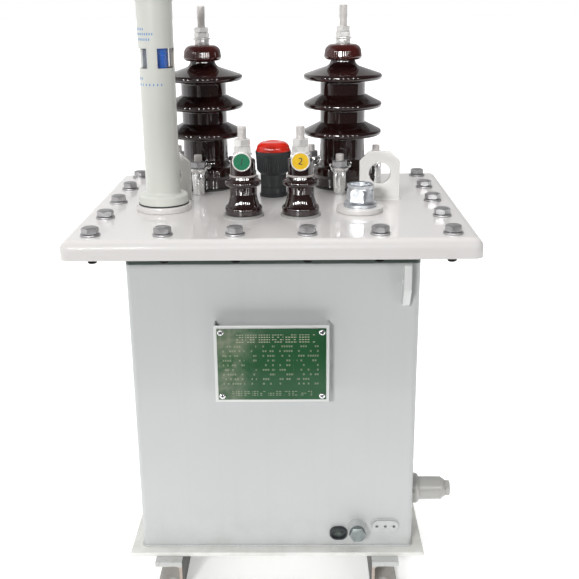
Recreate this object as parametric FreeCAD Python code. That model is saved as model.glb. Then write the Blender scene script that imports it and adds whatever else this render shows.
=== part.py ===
import FreeCAD, Part
import math
import os

# Small oil-filled power transformer, millimetres.
# +X is to the right of the nameplate side, +Y runs to the back, +Z is up.
# The origin is on the floor, at the centre of the four foot holes.

# ---- feet and base plate ----
foot_height = 50.0
foot_flange = 37.0
foot_web = 4.5
foot_flange_thickness = 7.0
foot_root_radius = 5.0
foot_from_base_edge = 36.0
foot_overrun = 14.0
foot_hole_radius = 7.0
foot_hole_from_end = 20.0
foot_hole_from_web = 18.0
base_thickness = 6.0
base_overhang = 16.0

# ---- tank ----
tank_width = 374.0
tank_depth = 304.0
tank_shell_height = 448.0
tank_wall = 4.0
tank_corner_radius = 7.0
flange_thickness = 8.0
flange_corner_radius = 8.0
flange_to_rim = 8.0
gasket_thickness = 5.0

# ---- cover pan ----
cover_width = 507.0
cover_depth = 428.0
cover_plate = 5.0
cover_drop = 24.0
cover_bend_radius = 12.0

# ---- lifting lugs ----
lug_hole_radius = 15.0
lug_side_wall = 13.0
lug_top_wall = 15.5
lug_hole_clear = 22.5
lug_thickness = 9.0
lug_chamfer = 13.5
lug_half_pitch = 146.0
lug_y = 10.0

# ---- high-voltage bushings ----
hv_half_pitch = 102.0
hv_middle_x = -4.0
hv_y = 108.0
hv_gasket_thickness = 3.0
hv_body_radius = 33.0
hv_foot_step = 8.0
hv_shoulder_step = 4.0
hv_shoulder_height = 34.0
hv_shed_reach = 24.5
hv_shed_heights = (82.0, 122.0, 162.0)
hv_shed_rim = 9.0
hv_shed_rise = 15.0
hv_neck_radius = 18.0
hv_neck_height = 186.0
hv_cap_overhang = 9.5
hv_cap_height = 22.0
hv_crown_step = 6.5
hv_crown_drop = 0.6
# turned profiles: out from a radius, up from a level, "via" for the middle of an arc
foot_edge_profile = ((-1.0, 0.0), (0.0, 1.0))
hv_waist_profile = ((0.5, -18.0),)
hv_shoulder_profile = ((0.0, -13.0), (0.0, -5.0), (-1.2, -2.0, "via"), (-4.0, -0.6))
hv_root_profile = ((4.0, 0.0), (1.2, 4.0, "via"), (0.0, 12.0))
hv_shed_slope = (0.35, 0.94)
hv_shed_under_profile = ((4.0, -1.5), (1.0, -2.4, "via"), (0.0, -5.0))
hv_crown_profile = ((2.1, 2.6, "via"),)
hv_cap_profile = ((-6.0, 0.0), (-1.5, 1.2, "via"), (0.0, 5.0), (-1.0, 12.0),
                  (-4.5, 18.5, "via"), (-11.0, 21.4))

# ---- bushing clamps ----
clamp_angles = (-96.0, 24.0, 144.0)
clamp_from_shoulder = 12.0
clamp_body_gap = 3.0
clamp_foot_radius = 7.5
clamp_head_radius = 11.0
clamp_prong_width = 8.0
clamp_prong_thickness = 5.0
clamp_prong_spread = 38.0
clamp_land_gap = 0.3

# ---- low-voltage bushings ----
lv_half_pitch = 37.4
lv_middle_x = -1.7
lv_y = -83.0
lv_gasket_thickness = 3.0
lv_gasket_margin = 2.0
lv_neck_radius = 17.5
lv_foot_step = 7.0
lv_ring_step = 6.0
lv_ring_below_seat = 9.0
lv_seat_height = 53.0
lv_cap_gasket = 1.5
lv_cap_step = 1.0
lv_cap_height = 21.0
lv_foot_profile = ((0.0, 10.0), (-0.8, 12.5, "via"), (-3.0, 14.0))
lv_neck_profile = ((2.0, 19.0, "via"), (0.0, 30.0))
lv_ring_profile = ((-3.0, -4.0), (0.0, 0.0, "via"), (-3.0, 4.0))
lv_ring_lead = (0.5, -5.0)
lv_ring_shelf = (1.0, 5.5)
lv_cap_ring_margin = 0.5
lv_cap_profile = ((0.0, -4.0), (-1.2, -1.2, "via"), (-4.0, 0.0))

# ---- terminals, shared by both kinds of bushing ----
stud_radius = 6.0
stud_chamfer = 1.0
nut_crown_slope = 0.2
nut_crown_inset = 0.93
nut_across_flats = 19.0
nut_turns = (0.0, 17.0)
collar_margin = 1.0
washer_margin = 3.0
terminal_washer = 2.5
hv_nut_height = 7.5
hv_stud_free = 29.0
hv_collar_height = 7.0
lv_nut_height = 9.0
lv_stud_free = 16.0
lv_collar_height = 3.5

# ---- phase tags ----
tag_radius = 12.3
tag_thickness = 1.2
tag_strap_width = 9.0
tag_drop = 1.5
tag_cap_gap = 2.5

# ---- tap changer ----
tap_x = -3.3
tap_y = 44.0
tap_base_radius = 18.5
tap_base_height = 33.5
tap_foot_step = 1.5
tap_foot_height = 3.0
tap_foot_bevel = 2.0
tap_neck_bevel = 2.0
tap_head_step = 7.0
tap_head_height = 31.0
tap_head_taper = 3.0
tap_dome_rise = 13.0
tap_dome_edge = 2.0
tap_dome_inset = 0.8

# ---- oil gauge ----
gauge_x = -150.0
gauge_y = -41.0
gauge_tube_radius = 23.0
gauge_tube_wall = 3.0
gauge_flange_step = 10.0
gauge_flange_height = 12.0
gauge_flange_profile = ((0.0, -2.0), (-2.0, 0.0))
gauge_root_profile = ((3.0, 0.0), (0.9, 0.9, "via"), (0.0, 3.0))
gauge_gasket_margin = 0.5
gauge_gasket_thickness = 2.0
gauge_seat_margin = 4.0
gauge_seat_height = 8.0
gauge_tube_top = 269.5
gauge_window_low = 187.5
gauge_window_high = 212.5
gauge_pillar_angle = 35.0
gauge_first_pillar = -96.5
gauge_pillars = 3
gauge_glass_gap = 2.5
gauge_glass_wall = 2.0
gauge_glass_overlap = 8.0
gauge_float_gap = 1.5
gauge_cap_height = 18.5
gauge_cap_margin = 0.8
gauge_cap_profile = ((0.0, -6.0), (-1.8, -1.8, "via"), (-6.0, 0.0))

# ---- filler plug ----
filler_x = 115.0
filler_y = -61.0
filler_body_radius = 17.0
filler_body_height = 24.0
filler_recess_wall = 3.5
filler_recess_depth = 7.0
filler_flange_step = 5.5
filler_flange_height = 6.0
filler_flange_profile = ((0.0, -1.5), (-2.5, 1.0))
filler_root_profile = ((1.0, 5.0), (0.0, 7.0))
filler_lip_profile = ((0.0, -2.5), (0.8, -1.0), (0.0, 0.0))
filler_pad_margin = 8.5
filler_pad_height = 7.0

# ---- nameplate on its bracket ----
plate_x = -2.5
plate_below_top = 165.0
plate_width = 139.5
plate_height = 98.0
plate_thickness = 1.5
bracket_border = 4.0
bracket_depth = 20.0
bracket_sheet = 2.0

# ---- fittings low on the tank, placed from its right front edge and its base ----
drain_from_edge = 76.5
drain_above_base = 33.5
drain_boss_radius = 11.5
drain_boss_length = 18.0
drain_plug_flats = 20.0
drain_plug_length = 9.0
earth_from_edge = 100.3
earth_above_base = 22.3
earth_length = 27.0
earth_height = 19.0
earth_thickness = 6.0
oval_from_edge = 37.0
oval_above_base = 34.0
oval_length = 36.5
oval_height = 17.0
oval_thickness = 5.0
oval_hole_radius = 2.0
oval_hole_pitch = 11.7
outlet_from_front = 44.0
outlet_above_base = 66.3
outlet_pipe_radius = 16.0
outlet_pipe_length = 37.5
outlet_pipe_taper = 4.5
outlet_collar_step = 5.0
outlet_collar_length = 12.0
outlet_collar_profile = ((0.0, -3.0), (-2.0, 0.0))
outlet_mouth_profile = ((0.0, -1.0), (-1.0, 0.0))
outlet_mouth_step = 4.0
outlet_plug_flats = 21.0
outlet_plug_length = 7.2

# ---- hooks on the tank wall ----
hook_from_edge = 18.6
hook_below_flange = 23.0
hook_height = 59.5
hook_thickness = 9.2
hook_reach = 24.0
hook_foot_reach = 8.0
hook_throat = 12.0
hook_throat_low = 26.0

# ---- heights, places and plan sizes that follow ----
base_low = foot_height
base_high = base_low + base_thickness
tank_top = base_high + tank_shell_height
cover_under = tank_top + gasket_thickness
cover_top = cover_under + cover_plate
rim_low = cover_top - cover_drop
base_width = tank_width + 2 * base_overhang
base_depth = tank_depth + 2 * base_overhang
foot_outer_x = base_width / 2 - foot_from_base_edge
foot_inner_x = foot_outer_x - foot_flange
foot_length = base_depth + 2 * foot_overrun
flange_width = cover_width - 2 * cover_plate - 2 * flange_to_rim
flange_depth = cover_depth - 2 * cover_plate - 2 * flange_to_rim
tank_front = -tank_depth / 2
tank_right = tank_width / 2
lug_width = 2 * (lug_hole_radius + lug_side_wall)
lug_hole_height = lug_hole_clear + lug_hole_radius
lug_height = lug_hole_height + lug_hole_radius + lug_top_wall
hv_foot_radius = hv_body_radius + hv_foot_step
hv_shoulder_radius = hv_foot_radius + hv_shoulder_step
hv_shed_radius = hv_body_radius + hv_shed_reach
hv_cap_radius = hv_neck_radius + hv_cap_overhang
clamp_reach = hv_shoulder_radius + clamp_from_shoulder
clamp_prong_length = clamp_reach - hv_body_radius - clamp_body_gap
lv_foot_radius = lv_neck_radius + lv_foot_step
lv_gasket_radius = lv_foot_radius + lv_gasket_margin
lv_ring_radius = lv_neck_radius + lv_ring_step
lv_cap_radius = lv_neck_radius - lv_cap_step
collar_radius = nut_across_flats / 2 + collar_margin
terminal_washer_radius = nut_across_flats / 2 + washer_margin
tap_head_radius = tap_base_radius + tap_head_step
gauge_flange_radius = gauge_tube_radius + gauge_flange_step
gauge_gasket_radius = gauge_flange_radius + gauge_gasket_margin
gauge_seat_radius = gauge_flange_radius + gauge_seat_margin
gauge_cap_radius = gauge_tube_radius + gauge_cap_margin
gauge_glass_radius = gauge_tube_radius - gauge_tube_wall - gauge_glass_gap
filler_recess_radius = filler_body_radius - filler_recess_wall
filler_flange_radius = filler_body_radius + filler_flange_step
filler_pad_radius = filler_flange_radius + filler_pad_margin
plate_z = tank_top - plate_below_top
outlet_collar_radius = outlet_pipe_radius + outlet_collar_step

X_AXIS = FreeCAD.Vector(1, 0, 0)
Y_AXIS = FreeCAD.Vector(0, 1, 0)
Z_AXIS = FreeCAD.Vector(0, 0, 1)
ORIGIN = FreeCAD.Vector(0, 0, 0)


def box(x0, x1, y0, y1, z0, z1):
    corner = FreeCAD.Vector(x0, y0, z0)
    return Part.makeBox(x1 - x0, y1 - y0, z1 - z0, corner)


def cylinder(radius, length, base, axis=Z_AXIS):
    return Part.makeCylinder(radius, length, FreeCAD.Vector(*base), axis)


def placed(shape, x, y, z):
    moved = shape.copy()
    moved.translate(FreeCAD.Vector(x, y, z))
    return moved


def outline_edges(points, is_via):
    """Closed run of edges; a point marked as via is the middle of an arc."""
    edges = []
    i = 0
    while i < len(points) - 1:
        if is_via[i + 1]:
            edges.append(Part.Arc(points[i], points[i + 1], points[i + 2]).toShape())
            i += 2
        else:
            edges.append(Part.makeLine(points[i], points[i + 1]))
            i += 1
    edges.append(Part.makeLine(points[-1], points[0]))
    return edges


def turned(outline):
    """Solid of revolution about Z. A point (r, z, "via") is the middle of an arc."""
    points = [FreeCAD.Vector(item[0], 0, item[1]) for item in outline]
    edges = outline_edges(points, [len(item) > 2 for item in outline])
    face = Part.Face(Part.Wire(edges))
    return Part.makeSolid(face.revolve(ORIGIN, Z_AXIS, 360))


def profile(radius, level, steps):
    """Outline points of a named profile set against a radius and a level."""
    return [(radius + step[0], level + step[1]) + tuple(step[2:]) for step in steps]


def hexagon(flats, length):
    """Hexagonal prism standing on the XY plane, two flats facing front and back."""
    corner_radius = flats / math.sqrt(3)
    corners = []
    for k in range(7):
        angle = math.radians(60 * k)
        x = corner_radius * math.cos(angle)
        y = corner_radius * math.sin(angle)
        corners.append(FreeCAD.Vector(x, y, 0))
    prism = Part.Face(Part.makePolygon(corners)).extrude(FreeCAD.Vector(0, 0, length))
    crown_low = corner_radius + nut_crown_slope * length
    crown = Part.makeCone(crown_low, corner_radius * nut_crown_inset, length)
    return prism.common(crown)


def rounded_block(width, depth, z0, z1, radius):
    """Upright block centred on the Z axis with rounded vertical edges."""
    block = box(-width / 2, width / 2, -depth / 2, depth / 2, z0, z1)
    upright = [e for e in block.Edges if abs(e.Vertexes[0].Z - e.Vertexes[1].Z) > 1]
    return block.makeFillet(radius, upright)


# ---------------------------------------------------------------- feet and base

def base_foot(side):
    """Rolled channel lying along Y, web towards the centre, flanges outward."""
    inner_x = foot_inner_x + foot_web
    bar = box(foot_inner_x, foot_outer_x, -foot_length / 2, foot_length / 2, 0, foot_height)
    hollow = box(inner_x, foot_outer_x + 1, -foot_length / 2, foot_length / 2,
                 foot_flange_thickness, foot_height - foot_flange_thickness)
    roots = [e for e in hollow.Edges
             if abs(e.CenterOfMass.x - inner_x) < 0.01 and abs(e.CenterOfMass.y) < 0.01]
    channel = bar.cut(hollow.makeFillet(foot_root_radius, roots))
    hole_x = foot_inner_x + foot_hole_from_web
    hole_y = foot_length / 2 - foot_hole_from_end
    for y in (-hole_y, hole_y):
        channel = channel.cut(cylinder(foot_hole_radius, foot_flange_thickness + 2, (hole_x, y, -1)))
    if side < 0:
        channel = channel.mirror(ORIGIN, X_AXIS)
    return channel


def base_plate():
    return box(-base_width / 2, base_width / 2, -base_depth / 2, base_depth / 2, base_low, base_high)


# ---------------------------------------------------------------- tank

def tank_ring():
    outside = rounded_block(tank_width, tank_depth, base_high, tank_top, tank_corner_radius)
    inside = rounded_block(tank_width - 2 * tank_wall, tank_depth - 2 * tank_wall,
                           base_high - 1, tank_top + 1, tank_corner_radius - tank_wall)
    return outside.cut(inside)


def tank_shell(side):
    """Half of the wall: one sheet bent into a U, seams in the middle of the sides."""
    reach = tank_depth
    half = box(-tank_width, tank_width, min(0, side * reach), max(0, side * reach), 0, cover_top)
    return tank_ring().common(half)


def tank_flange():
    low = tank_top - flange_thickness
    plate = rounded_block(flange_width, flange_depth, low, tank_top, flange_corner_radius)
    window = rounded_block(tank_width, tank_depth, low - 1, tank_top + 1, tank_corner_radius)
    return plate.cut(window)


def cover_gasket():
    ring = rounded_block(flange_width, flange_depth, tank_top, cover_under, flange_corner_radius)
    window = rounded_block(tank_width - 2 * tank_wall, tank_depth - 2 * tank_wall,
                           tank_top - 1, cover_under + 1, tank_corner_radius - tank_wall)
    return ring.cut(window)


def cover():
    """Pressed pan: flat top, rounded shoulders and a rim that hangs past the flange."""
    def pan(inset, low, high, radius):
        block = rounded_block(cover_width - 2 * inset, cover_depth - 2 * inset, low, high, radius)
        top_edges = [e for e in block.Edges if all(abs(v.Z - high) < 0.01 for v in e.Vertexes)]
        return block.makeFillet(radius * 0.98, top_edges)
    skin = pan(0, rim_low, cover_top, cover_bend_radius)
    hollow = pan(cover_plate, rim_low - 20, cover_under, cover_bend_radius - cover_plate)
    return skin.cut(hollow)


def lifting_lug(side):
    half = lug_width / 2
    top = lug_height
    chamfer = lug_chamfer
    outline = [(-half, 0), (half, 0), (half, top - chamfer), (half - chamfer, top),
               (chamfer - half, top), (-half, top - chamfer), (-half, 0)]
    corners = [FreeCAD.Vector(x, -lug_thickness / 2, z) for x, z in outline]
    plate = Part.Face(Part.makePolygon(corners)).extrude(FreeCAD.Vector(0, lug_thickness, 0))
    hole_start = (0, -lug_thickness / 2 - 1, lug_hole_height)
    hole = cylinder(lug_hole_radius, lug_thickness + 2, hole_start, Y_AXIS)
    return placed(plate.cut(hole), side * lug_half_pitch, lug_y, cover_top)


# ---------------------------------------------------------------- high-voltage bushings

def hv_gasket(side):
    ring = cylinder(hv_foot_radius, hv_gasket_thickness, (0, 0, 0))
    return placed(ring, hv_middle_x + side * hv_half_pitch, hv_y, cover_top)


def hv_shed(height, top_radius, top_height):
    """Outline of one shed, from its upper root round the rim to its lower root."""
    half = hv_shed_rim / 2
    rim = hv_shed_radius - half
    out, up = hv_shed_slope
    edge = [(top_radius, top_height),
            (rim + out * half, height + up * half),
            (hv_shed_radius, height, "via"),
            (rim, height - half)]
    return edge + profile(hv_body_radius, height - half, hv_shed_under_profile)


def hv_bushing(side):
    low = hv_gasket_thickness
    shoulder = hv_shoulder_height
    outline = [(0, low)] + profile(hv_foot_radius, low, foot_edge_profile)
    outline += profile(hv_foot_radius, shoulder, hv_waist_profile)
    outline += profile(hv_shoulder_radius, shoulder, hv_shoulder_profile)
    outline += profile(hv_body_radius, shoulder, hv_root_profile)
    sheds = []
    for height in hv_shed_heights[:-1]:
        sheds += reversed(hv_shed(height, hv_body_radius, height + hv_shed_rise))
    last = hv_shed_heights[-1]
    crown = hv_shed(last, hv_neck_radius + hv_crown_step, last + hv_shed_rise - hv_crown_drop)
    outline += sheds + list(reversed(crown))
    outline += profile(hv_neck_radius, last + hv_shed_rise, hv_crown_profile)
    outline += [(hv_neck_radius, hv_neck_height), (0, hv_neck_height)]
    return placed(turned(outline), hv_middle_x + side * hv_half_pitch, hv_y, cover_top)


def hv_cap(side):
    high = hv_cap_height
    outline = [(0, 0)] + profile(hv_cap_radius, 0, hv_cap_profile)
    outline += [(collar_radius, high), (0, high)]
    return placed(turned(outline), hv_middle_x + side * hv_half_pitch, hv_y, cover_top + hv_neck_height)


def terminal(collar_height, nut_height, free_length):
    """Collar, washer, nut and lock nut with the stud standing out of them."""
    z = collar_height
    pieces = [cylinder(collar_radius, collar_height, (0, 0, 0)),
              cylinder(terminal_washer_radius, terminal_washer, (0, 0, z))]
    z += terminal_washer
    for turn in nut_turns:
        nut = hexagon(nut_across_flats, nut_height)
        nut.rotate(ORIGIN, Z_AXIS, turn)
        pieces.append(placed(nut, 0, 0, z))
        z += nut_height
    stud = cylinder(stud_radius, free_length - stud_chamfer, (0, 0, z))
    tip = Part.makeCone(stud_radius, stud_radius - stud_chamfer, stud_chamfer,
                        FreeCAD.Vector(0, 0, z + free_length - stud_chamfer))
    return pieces[0].multiFuse(pieces[1:] + [stud, tip]).removeSplitter()


def hv_terminal(side):
    z = cover_top + hv_neck_height + hv_cap_height
    stack = terminal(hv_collar_height, hv_nut_height, hv_stud_free)
    return placed(stack, hv_middle_x + side * hv_half_pitch, hv_y, z)


def hv_clamp():
    """Cast press foot with two prongs that reach back over the bushing's shoulder."""
    land = hv_shoulder_height + clamp_land_gap
    high = land + clamp_prong_thickness
    body = Part.makeCone(clamp_foot_radius, clamp_head_radius, high)
    prongs = []
    for turn in (-clamp_prong_spread, clamp_prong_spread):
        bar = box(0, clamp_prong_length, -clamp_prong_width / 2, clamp_prong_width / 2, land, high)
        bar.rotate(ORIGIN, Z_AXIS, turn)
        prongs.append(bar)
    return body.multiFuse(prongs).removeSplitter()


def hv_clamps(side):
    clamps = []
    for angle in clamp_angles:
        clamp = placed(hv_clamp(), -clamp_reach, 0, 0)
        clamp.rotate(ORIGIN, Z_AXIS, angle + 180)
        clamps.append(placed(clamp, hv_middle_x + side * hv_half_pitch, hv_y, cover_top))
    return Part.makeCompound(clamps)


# ---------------------------------------------------------------- low-voltage bushings

def lv_gasket(side):
    ring = cylinder(lv_gasket_radius, lv_gasket_thickness, (0, 0, 0))
    return placed(ring, lv_middle_x + side * lv_half_pitch, lv_y, cover_top)


def lv_bushing(side):
    low = lv_gasket_thickness
    seat = lv_seat_height
    ring_mid = seat - lv_ring_below_seat
    outline = [(0, low)] + profile(lv_foot_radius, low, foot_edge_profile)
    outline += profile(lv_foot_radius, 0, lv_foot_profile)
    outline += profile(lv_neck_radius, 0, lv_neck_profile)
    outline += profile(lv_neck_radius, ring_mid, (lv_ring_lead,))
    outline += profile(lv_ring_radius, ring_mid, lv_ring_profile)
    outline += profile(lv_cap_radius, ring_mid, (lv_ring_shelf,))
    outline += [(lv_cap_radius, seat), (0, seat)]
    return placed(turned(outline), lv_middle_x + side * lv_half_pitch, lv_y, cover_top)


def lv_cap(side):
    """Upper porcelain sleeve on its thin sealing ring."""
    high = lv_cap_gasket + lv_cap_height
    ring = lv_cap_radius + lv_cap_ring_margin
    outline = [(0, 0), (ring, 0), (ring, lv_cap_gasket), (lv_cap_radius, lv_cap_gasket)]
    outline += profile(lv_cap_radius, high, lv_cap_profile) + [(0, high)]
    return placed(turned(outline), lv_middle_x + side * lv_half_pitch, lv_y, cover_top + lv_seat_height)


def lv_tag_level():
    return cover_top + lv_seat_height + lv_cap_gasket + lv_cap_height


def lv_terminal(side):
    stack = terminal(lv_collar_height, lv_nut_height, lv_stud_free)
    return placed(stack, lv_middle_x + side * lv_half_pitch, lv_y, lv_tag_level() + tag_thickness)


def phase_tag(side):
    """Round tag on a strap bent down from a washer under the terminal."""
    washer = cylinder(terminal_washer_radius, tag_thickness, (0, 0, 0))
    front = -lv_cap_radius - tag_cap_gap
    half = tag_strap_width / 2
    arm = box(-half, half, front - tag_thickness, 0, 0, tag_thickness)
    strap = box(-half, half, front - tag_thickness, front, -tag_drop, tag_thickness)
    disc = cylinder(tag_radius, tag_thickness, (0, front - tag_thickness, -tag_drop), Y_AXIS)
    tag = washer.multiFuse([arm, strap, disc]).removeSplitter()
    return placed(tag, lv_middle_x + side * lv_half_pitch, lv_y, lv_tag_level())


# ---------------------------------------------------------------- tap changer

def tap_changer_body():
    low = tap_head_radius - tap_head_taper
    top = tap_base_height + tap_head_height
    foot = tap_base_radius + tap_foot_step
    outline = [(0, 0), (foot, 0), (foot, tap_foot_height),
               (tap_base_radius, tap_foot_height + tap_foot_bevel),
               (tap_base_radius, tap_base_height - tap_neck_bevel),
               (low - tap_neck_bevel, tap_base_height),
               (low, tap_base_height + tap_neck_bevel), (tap_head_radius, top), (0, top)]
    return placed(turned(outline), tap_x, tap_y, cover_top)


def tap_changer_cap():
    """Low dome, part of a sphere, on a short straight edge."""
    edge = tap_head_radius - tap_dome_inset
    rise = tap_dome_rise - tap_dome_edge
    sphere = (edge * edge + rise * rise) / (2 * rise)
    half_way = math.asin(edge / sphere) / 2
    middle = (sphere * math.sin(half_way), tap_dome_rise - sphere * (1 - math.cos(half_way)), "via")
    cap = turned([(0, 0), (edge, 0), (edge, tap_dome_edge), middle, (0, tap_dome_rise)])
    return placed(cap, tap_x, tap_y, cover_top + tap_base_height + tap_head_height)


# ---------------------------------------------------------------- oil gauge

def gauge_seat():
    seat = cylinder(gauge_seat_radius, gauge_seat_height, (0, 0, 0))
    return placed(seat, gauge_x, gauge_y, cover_top)


def gauge_gasket():
    ring = cylinder(gauge_gasket_radius, gauge_gasket_thickness, (0, 0, gauge_seat_height))
    return placed(ring, gauge_x, gauge_y, cover_top)


def gauge_tube():
    """Sleeve on a round foot, open at the top, with sight windows between its pillars."""
    low = gauge_seat_height + gauge_gasket_thickness
    bore = gauge_tube_radius - gauge_tube_wall
    sill = gauge_window_low - gauge_glass_overlap
    ledge = low + gauge_flange_height
    outline = [(0, low), (gauge_flange_radius, low)]
    outline += profile(gauge_flange_radius, ledge, gauge_flange_profile)
    outline += profile(gauge_tube_radius, ledge, gauge_root_profile)
    outline += [(gauge_tube_radius, gauge_tube_top), (bore, gauge_tube_top), (bore, sill), (0, sill)]
    tube = turned(outline)
    window_angle = 360.0 / gauge_pillars - gauge_pillar_angle
    tall = gauge_window_high - gauge_window_low
    window_start = FreeCAD.Vector(0, 0, gauge_window_low)
    for k in range(gauge_pillars):
        start = gauge_first_pillar + gauge_pillar_angle / 2 + k * 360.0 / gauge_pillars
        window = Part.makeCylinder(gauge_tube_radius + 2, tall, window_start, Z_AXIS, window_angle)
        core = cylinder(bore - 1, tall + 2, (0, 0, gauge_window_low - 1))
        window.rotate(ORIGIN, Z_AXIS, start)
        tube = tube.cut(window.cut(core))
    return placed(tube, gauge_x, gauge_y, cover_top)


def gauge_glass():
    low = gauge_window_low - gauge_glass_overlap
    length = gauge_window_high + gauge_glass_overlap - low
    outer = cylinder(gauge_glass_radius, length, (0, 0, low))
    inner = cylinder(gauge_glass_radius - gauge_glass_wall, length + 2, (0, 0, low - 1))
    return placed(outer.cut(inner), gauge_x, gauge_y, cover_top)


def gauge_float():
    radius = gauge_glass_radius - gauge_glass_wall - gauge_float_gap
    low = gauge_window_low - gauge_glass_overlap
    body = cylinder(radius, gauge_window_high + gauge_glass_overlap / 2 - low, (0, 0, low))
    return placed(body, gauge_x, gauge_y, cover_top)


def gauge_cap():
    outline = [(0, 0), (gauge_cap_radius, 0)]
    outline += profile(gauge_cap_radius, gauge_cap_height, gauge_cap_profile)
    outline += [(0, gauge_cap_height)]
    return placed(turned(outline), gauge_x, gauge_y, cover_top + gauge_tube_top)


# ---------------------------------------------------------------- filler

def filler_pad():
    pad = cylinder(filler_pad_radius, filler_pad_height, (0, 0, 0))
    return placed(pad, filler_x, filler_y, cover_top)


def filler_plug():
    flange = filler_flange_height
    top = flange + filler_body_height
    floor = top - filler_recess_depth
    outline = [(0, 0)] + profile(filler_flange_radius, 0, foot_edge_profile)
    outline += profile(filler_flange_radius, flange, filler_flange_profile)
    outline += profile(filler_body_radius, flange, filler_root_profile)
    outline += profile(filler_body_radius, top, filler_lip_profile)
    outline += [(filler_recess_radius, top), (filler_recess_radius, floor), (0, floor)]
    return placed(turned(outline), filler_x, filler_y, cover_top + filler_pad_height)


# ---------------------------------------------------------------- nameplate

def nameplate_bracket():
    """Face sheet with a return along each side that stands it off the tank wall."""
    half = plate_width / 2 + bracket_border
    low = plate_z - plate_height / 2 - bracket_border
    high = plate_z + plate_height / 2 + bracket_border
    front = tank_front - bracket_depth
    face = box(plate_x - half, plate_x + half, front, front + bracket_sheet, low, high)
    left = box(plate_x - half, plate_x - half + bracket_sheet, front, tank_front, low, high)
    right = box(plate_x + half - bracket_sheet, plate_x + half, front, tank_front, low, high)
    return face.multiFuse([left, right]).removeSplitter()


def nameplate():
    front = tank_front - bracket_depth
    return box(plate_x - plate_width / 2, plate_x + plate_width / 2, front - plate_thickness, front,
               plate_z - plate_height / 2, plate_z + plate_height / 2)


# ---------------------------------------------------------------- tank fittings

def drain_boss():
    boss = cylinder(drain_boss_radius, drain_boss_length, (0, -drain_boss_length, 0), Y_AXIS)
    return placed(boss, tank_right - drain_from_edge, tank_front, base_high + drain_above_base)


def drain_plug():
    plug = hexagon(drain_plug_flats, drain_plug_length)
    plug.rotate(ORIGIN, X_AXIS, 90)
    return placed(plug, tank_right - drain_from_edge, tank_front - drain_boss_length,
                  base_high + drain_above_base)


def oval_block(length, height, thickness):
    """Upright plate with round ends, its back on the plane of the tank's front."""
    end = height / 2
    offset = length / 2 - end
    plate = box(-offset, offset, -thickness, 0, -end, end)
    for x in (-offset, offset):
        plate = plate.fuse(cylinder(end, thickness, (x, -thickness, 0), Y_AXIS))
    return plate.removeSplitter()


def earth_cap():
    cap = oval_block(earth_length, earth_height, earth_thickness)
    return placed(cap, tank_right - earth_from_edge, tank_front, base_high + earth_above_base)


def oval_plate():
    """Welded boss plate with three small tapped holes in a row."""
    plate = oval_block(oval_length, oval_height, oval_thickness)
    for x in (-oval_hole_pitch, 0, oval_hole_pitch):
        hole_start = (x, -oval_thickness - 1, 0)
        plate = plate.cut(cylinder(oval_hole_radius, oval_thickness + 2, hole_start, Y_AXIS))
    return placed(plate, tank_right - oval_from_edge, tank_front, base_high + oval_above_base)


def outlet_pipe():
    """Round collar on the wall and a pipe with a stepped, tapered mouth."""
    collar_end = outlet_collar_length
    pipe_end = collar_end + outlet_pipe_length
    mouth = pipe_end - outlet_pipe_taper
    outline = [(0, 0), (outlet_collar_radius, 0)]
    outline += profile(outlet_collar_radius, collar_end, outlet_collar_profile)
    outline += [(outlet_pipe_radius, collar_end)]
    outline += profile(outlet_pipe_radius, mouth, outlet_mouth_profile)
    outline += [(outlet_pipe_radius - outlet_mouth_step, pipe_end), (0, pipe_end)]
    pipe = turned(outline)
    pipe.rotate(ORIGIN, Y_AXIS, 90)
    return placed(pipe, tank_right, tank_front + outlet_from_front, base_high + outlet_above_base)


def outlet_plug():
    plug = hexagon(outlet_plug_flats, outlet_plug_length)
    plug.rotate(ORIGIN, Y_AXIS, 90)
    return placed(plug, tank_right + outlet_collar_length + outlet_pipe_length,
                  tank_front + outlet_from_front, base_high + outlet_above_base)


def tank_hook():
    """Plate hook welded edge-on to the wall: open throat at the top, sloping underside."""
    top = tank_top - flange_thickness - hook_below_flange
    low = top - hook_height
    tip = (hook_reach - hook_throat) / 2
    throat = hook_throat / 2
    outline = [(0, low), (hook_foot_reach, low), (hook_reach, low + hook_reach),
               (hook_reach, top - tip), (hook_reach - tip, top, "via"), (hook_throat, top - tip),
               (hook_throat, low + hook_throat_low + throat),
               (throat, low + hook_throat_low, "via"), (0, low + hook_throat_low + throat)]
    points = [FreeCAD.Vector(-hook_thickness / 2, tank_front - item[0], item[1]) for item in outline]
    edges = outline_edges(points, [len(item) > 2 for item in outline])
    return Part.Face(Part.Wire(edges)).extrude(FreeCAD.Vector(hook_thickness, 0, 0))


def tank_hooks():
    hook_x = tank_right - hook_from_edge
    front = placed(tank_hook(), hook_x, 0, 0)
    back = tank_hook()
    back.rotate(ORIGIN, Z_AXIS, 180)
    return Part.makeCompound([front, placed(back, -hook_x, 0, 0)])


# ---------------------------------------------------------------- everything

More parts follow.
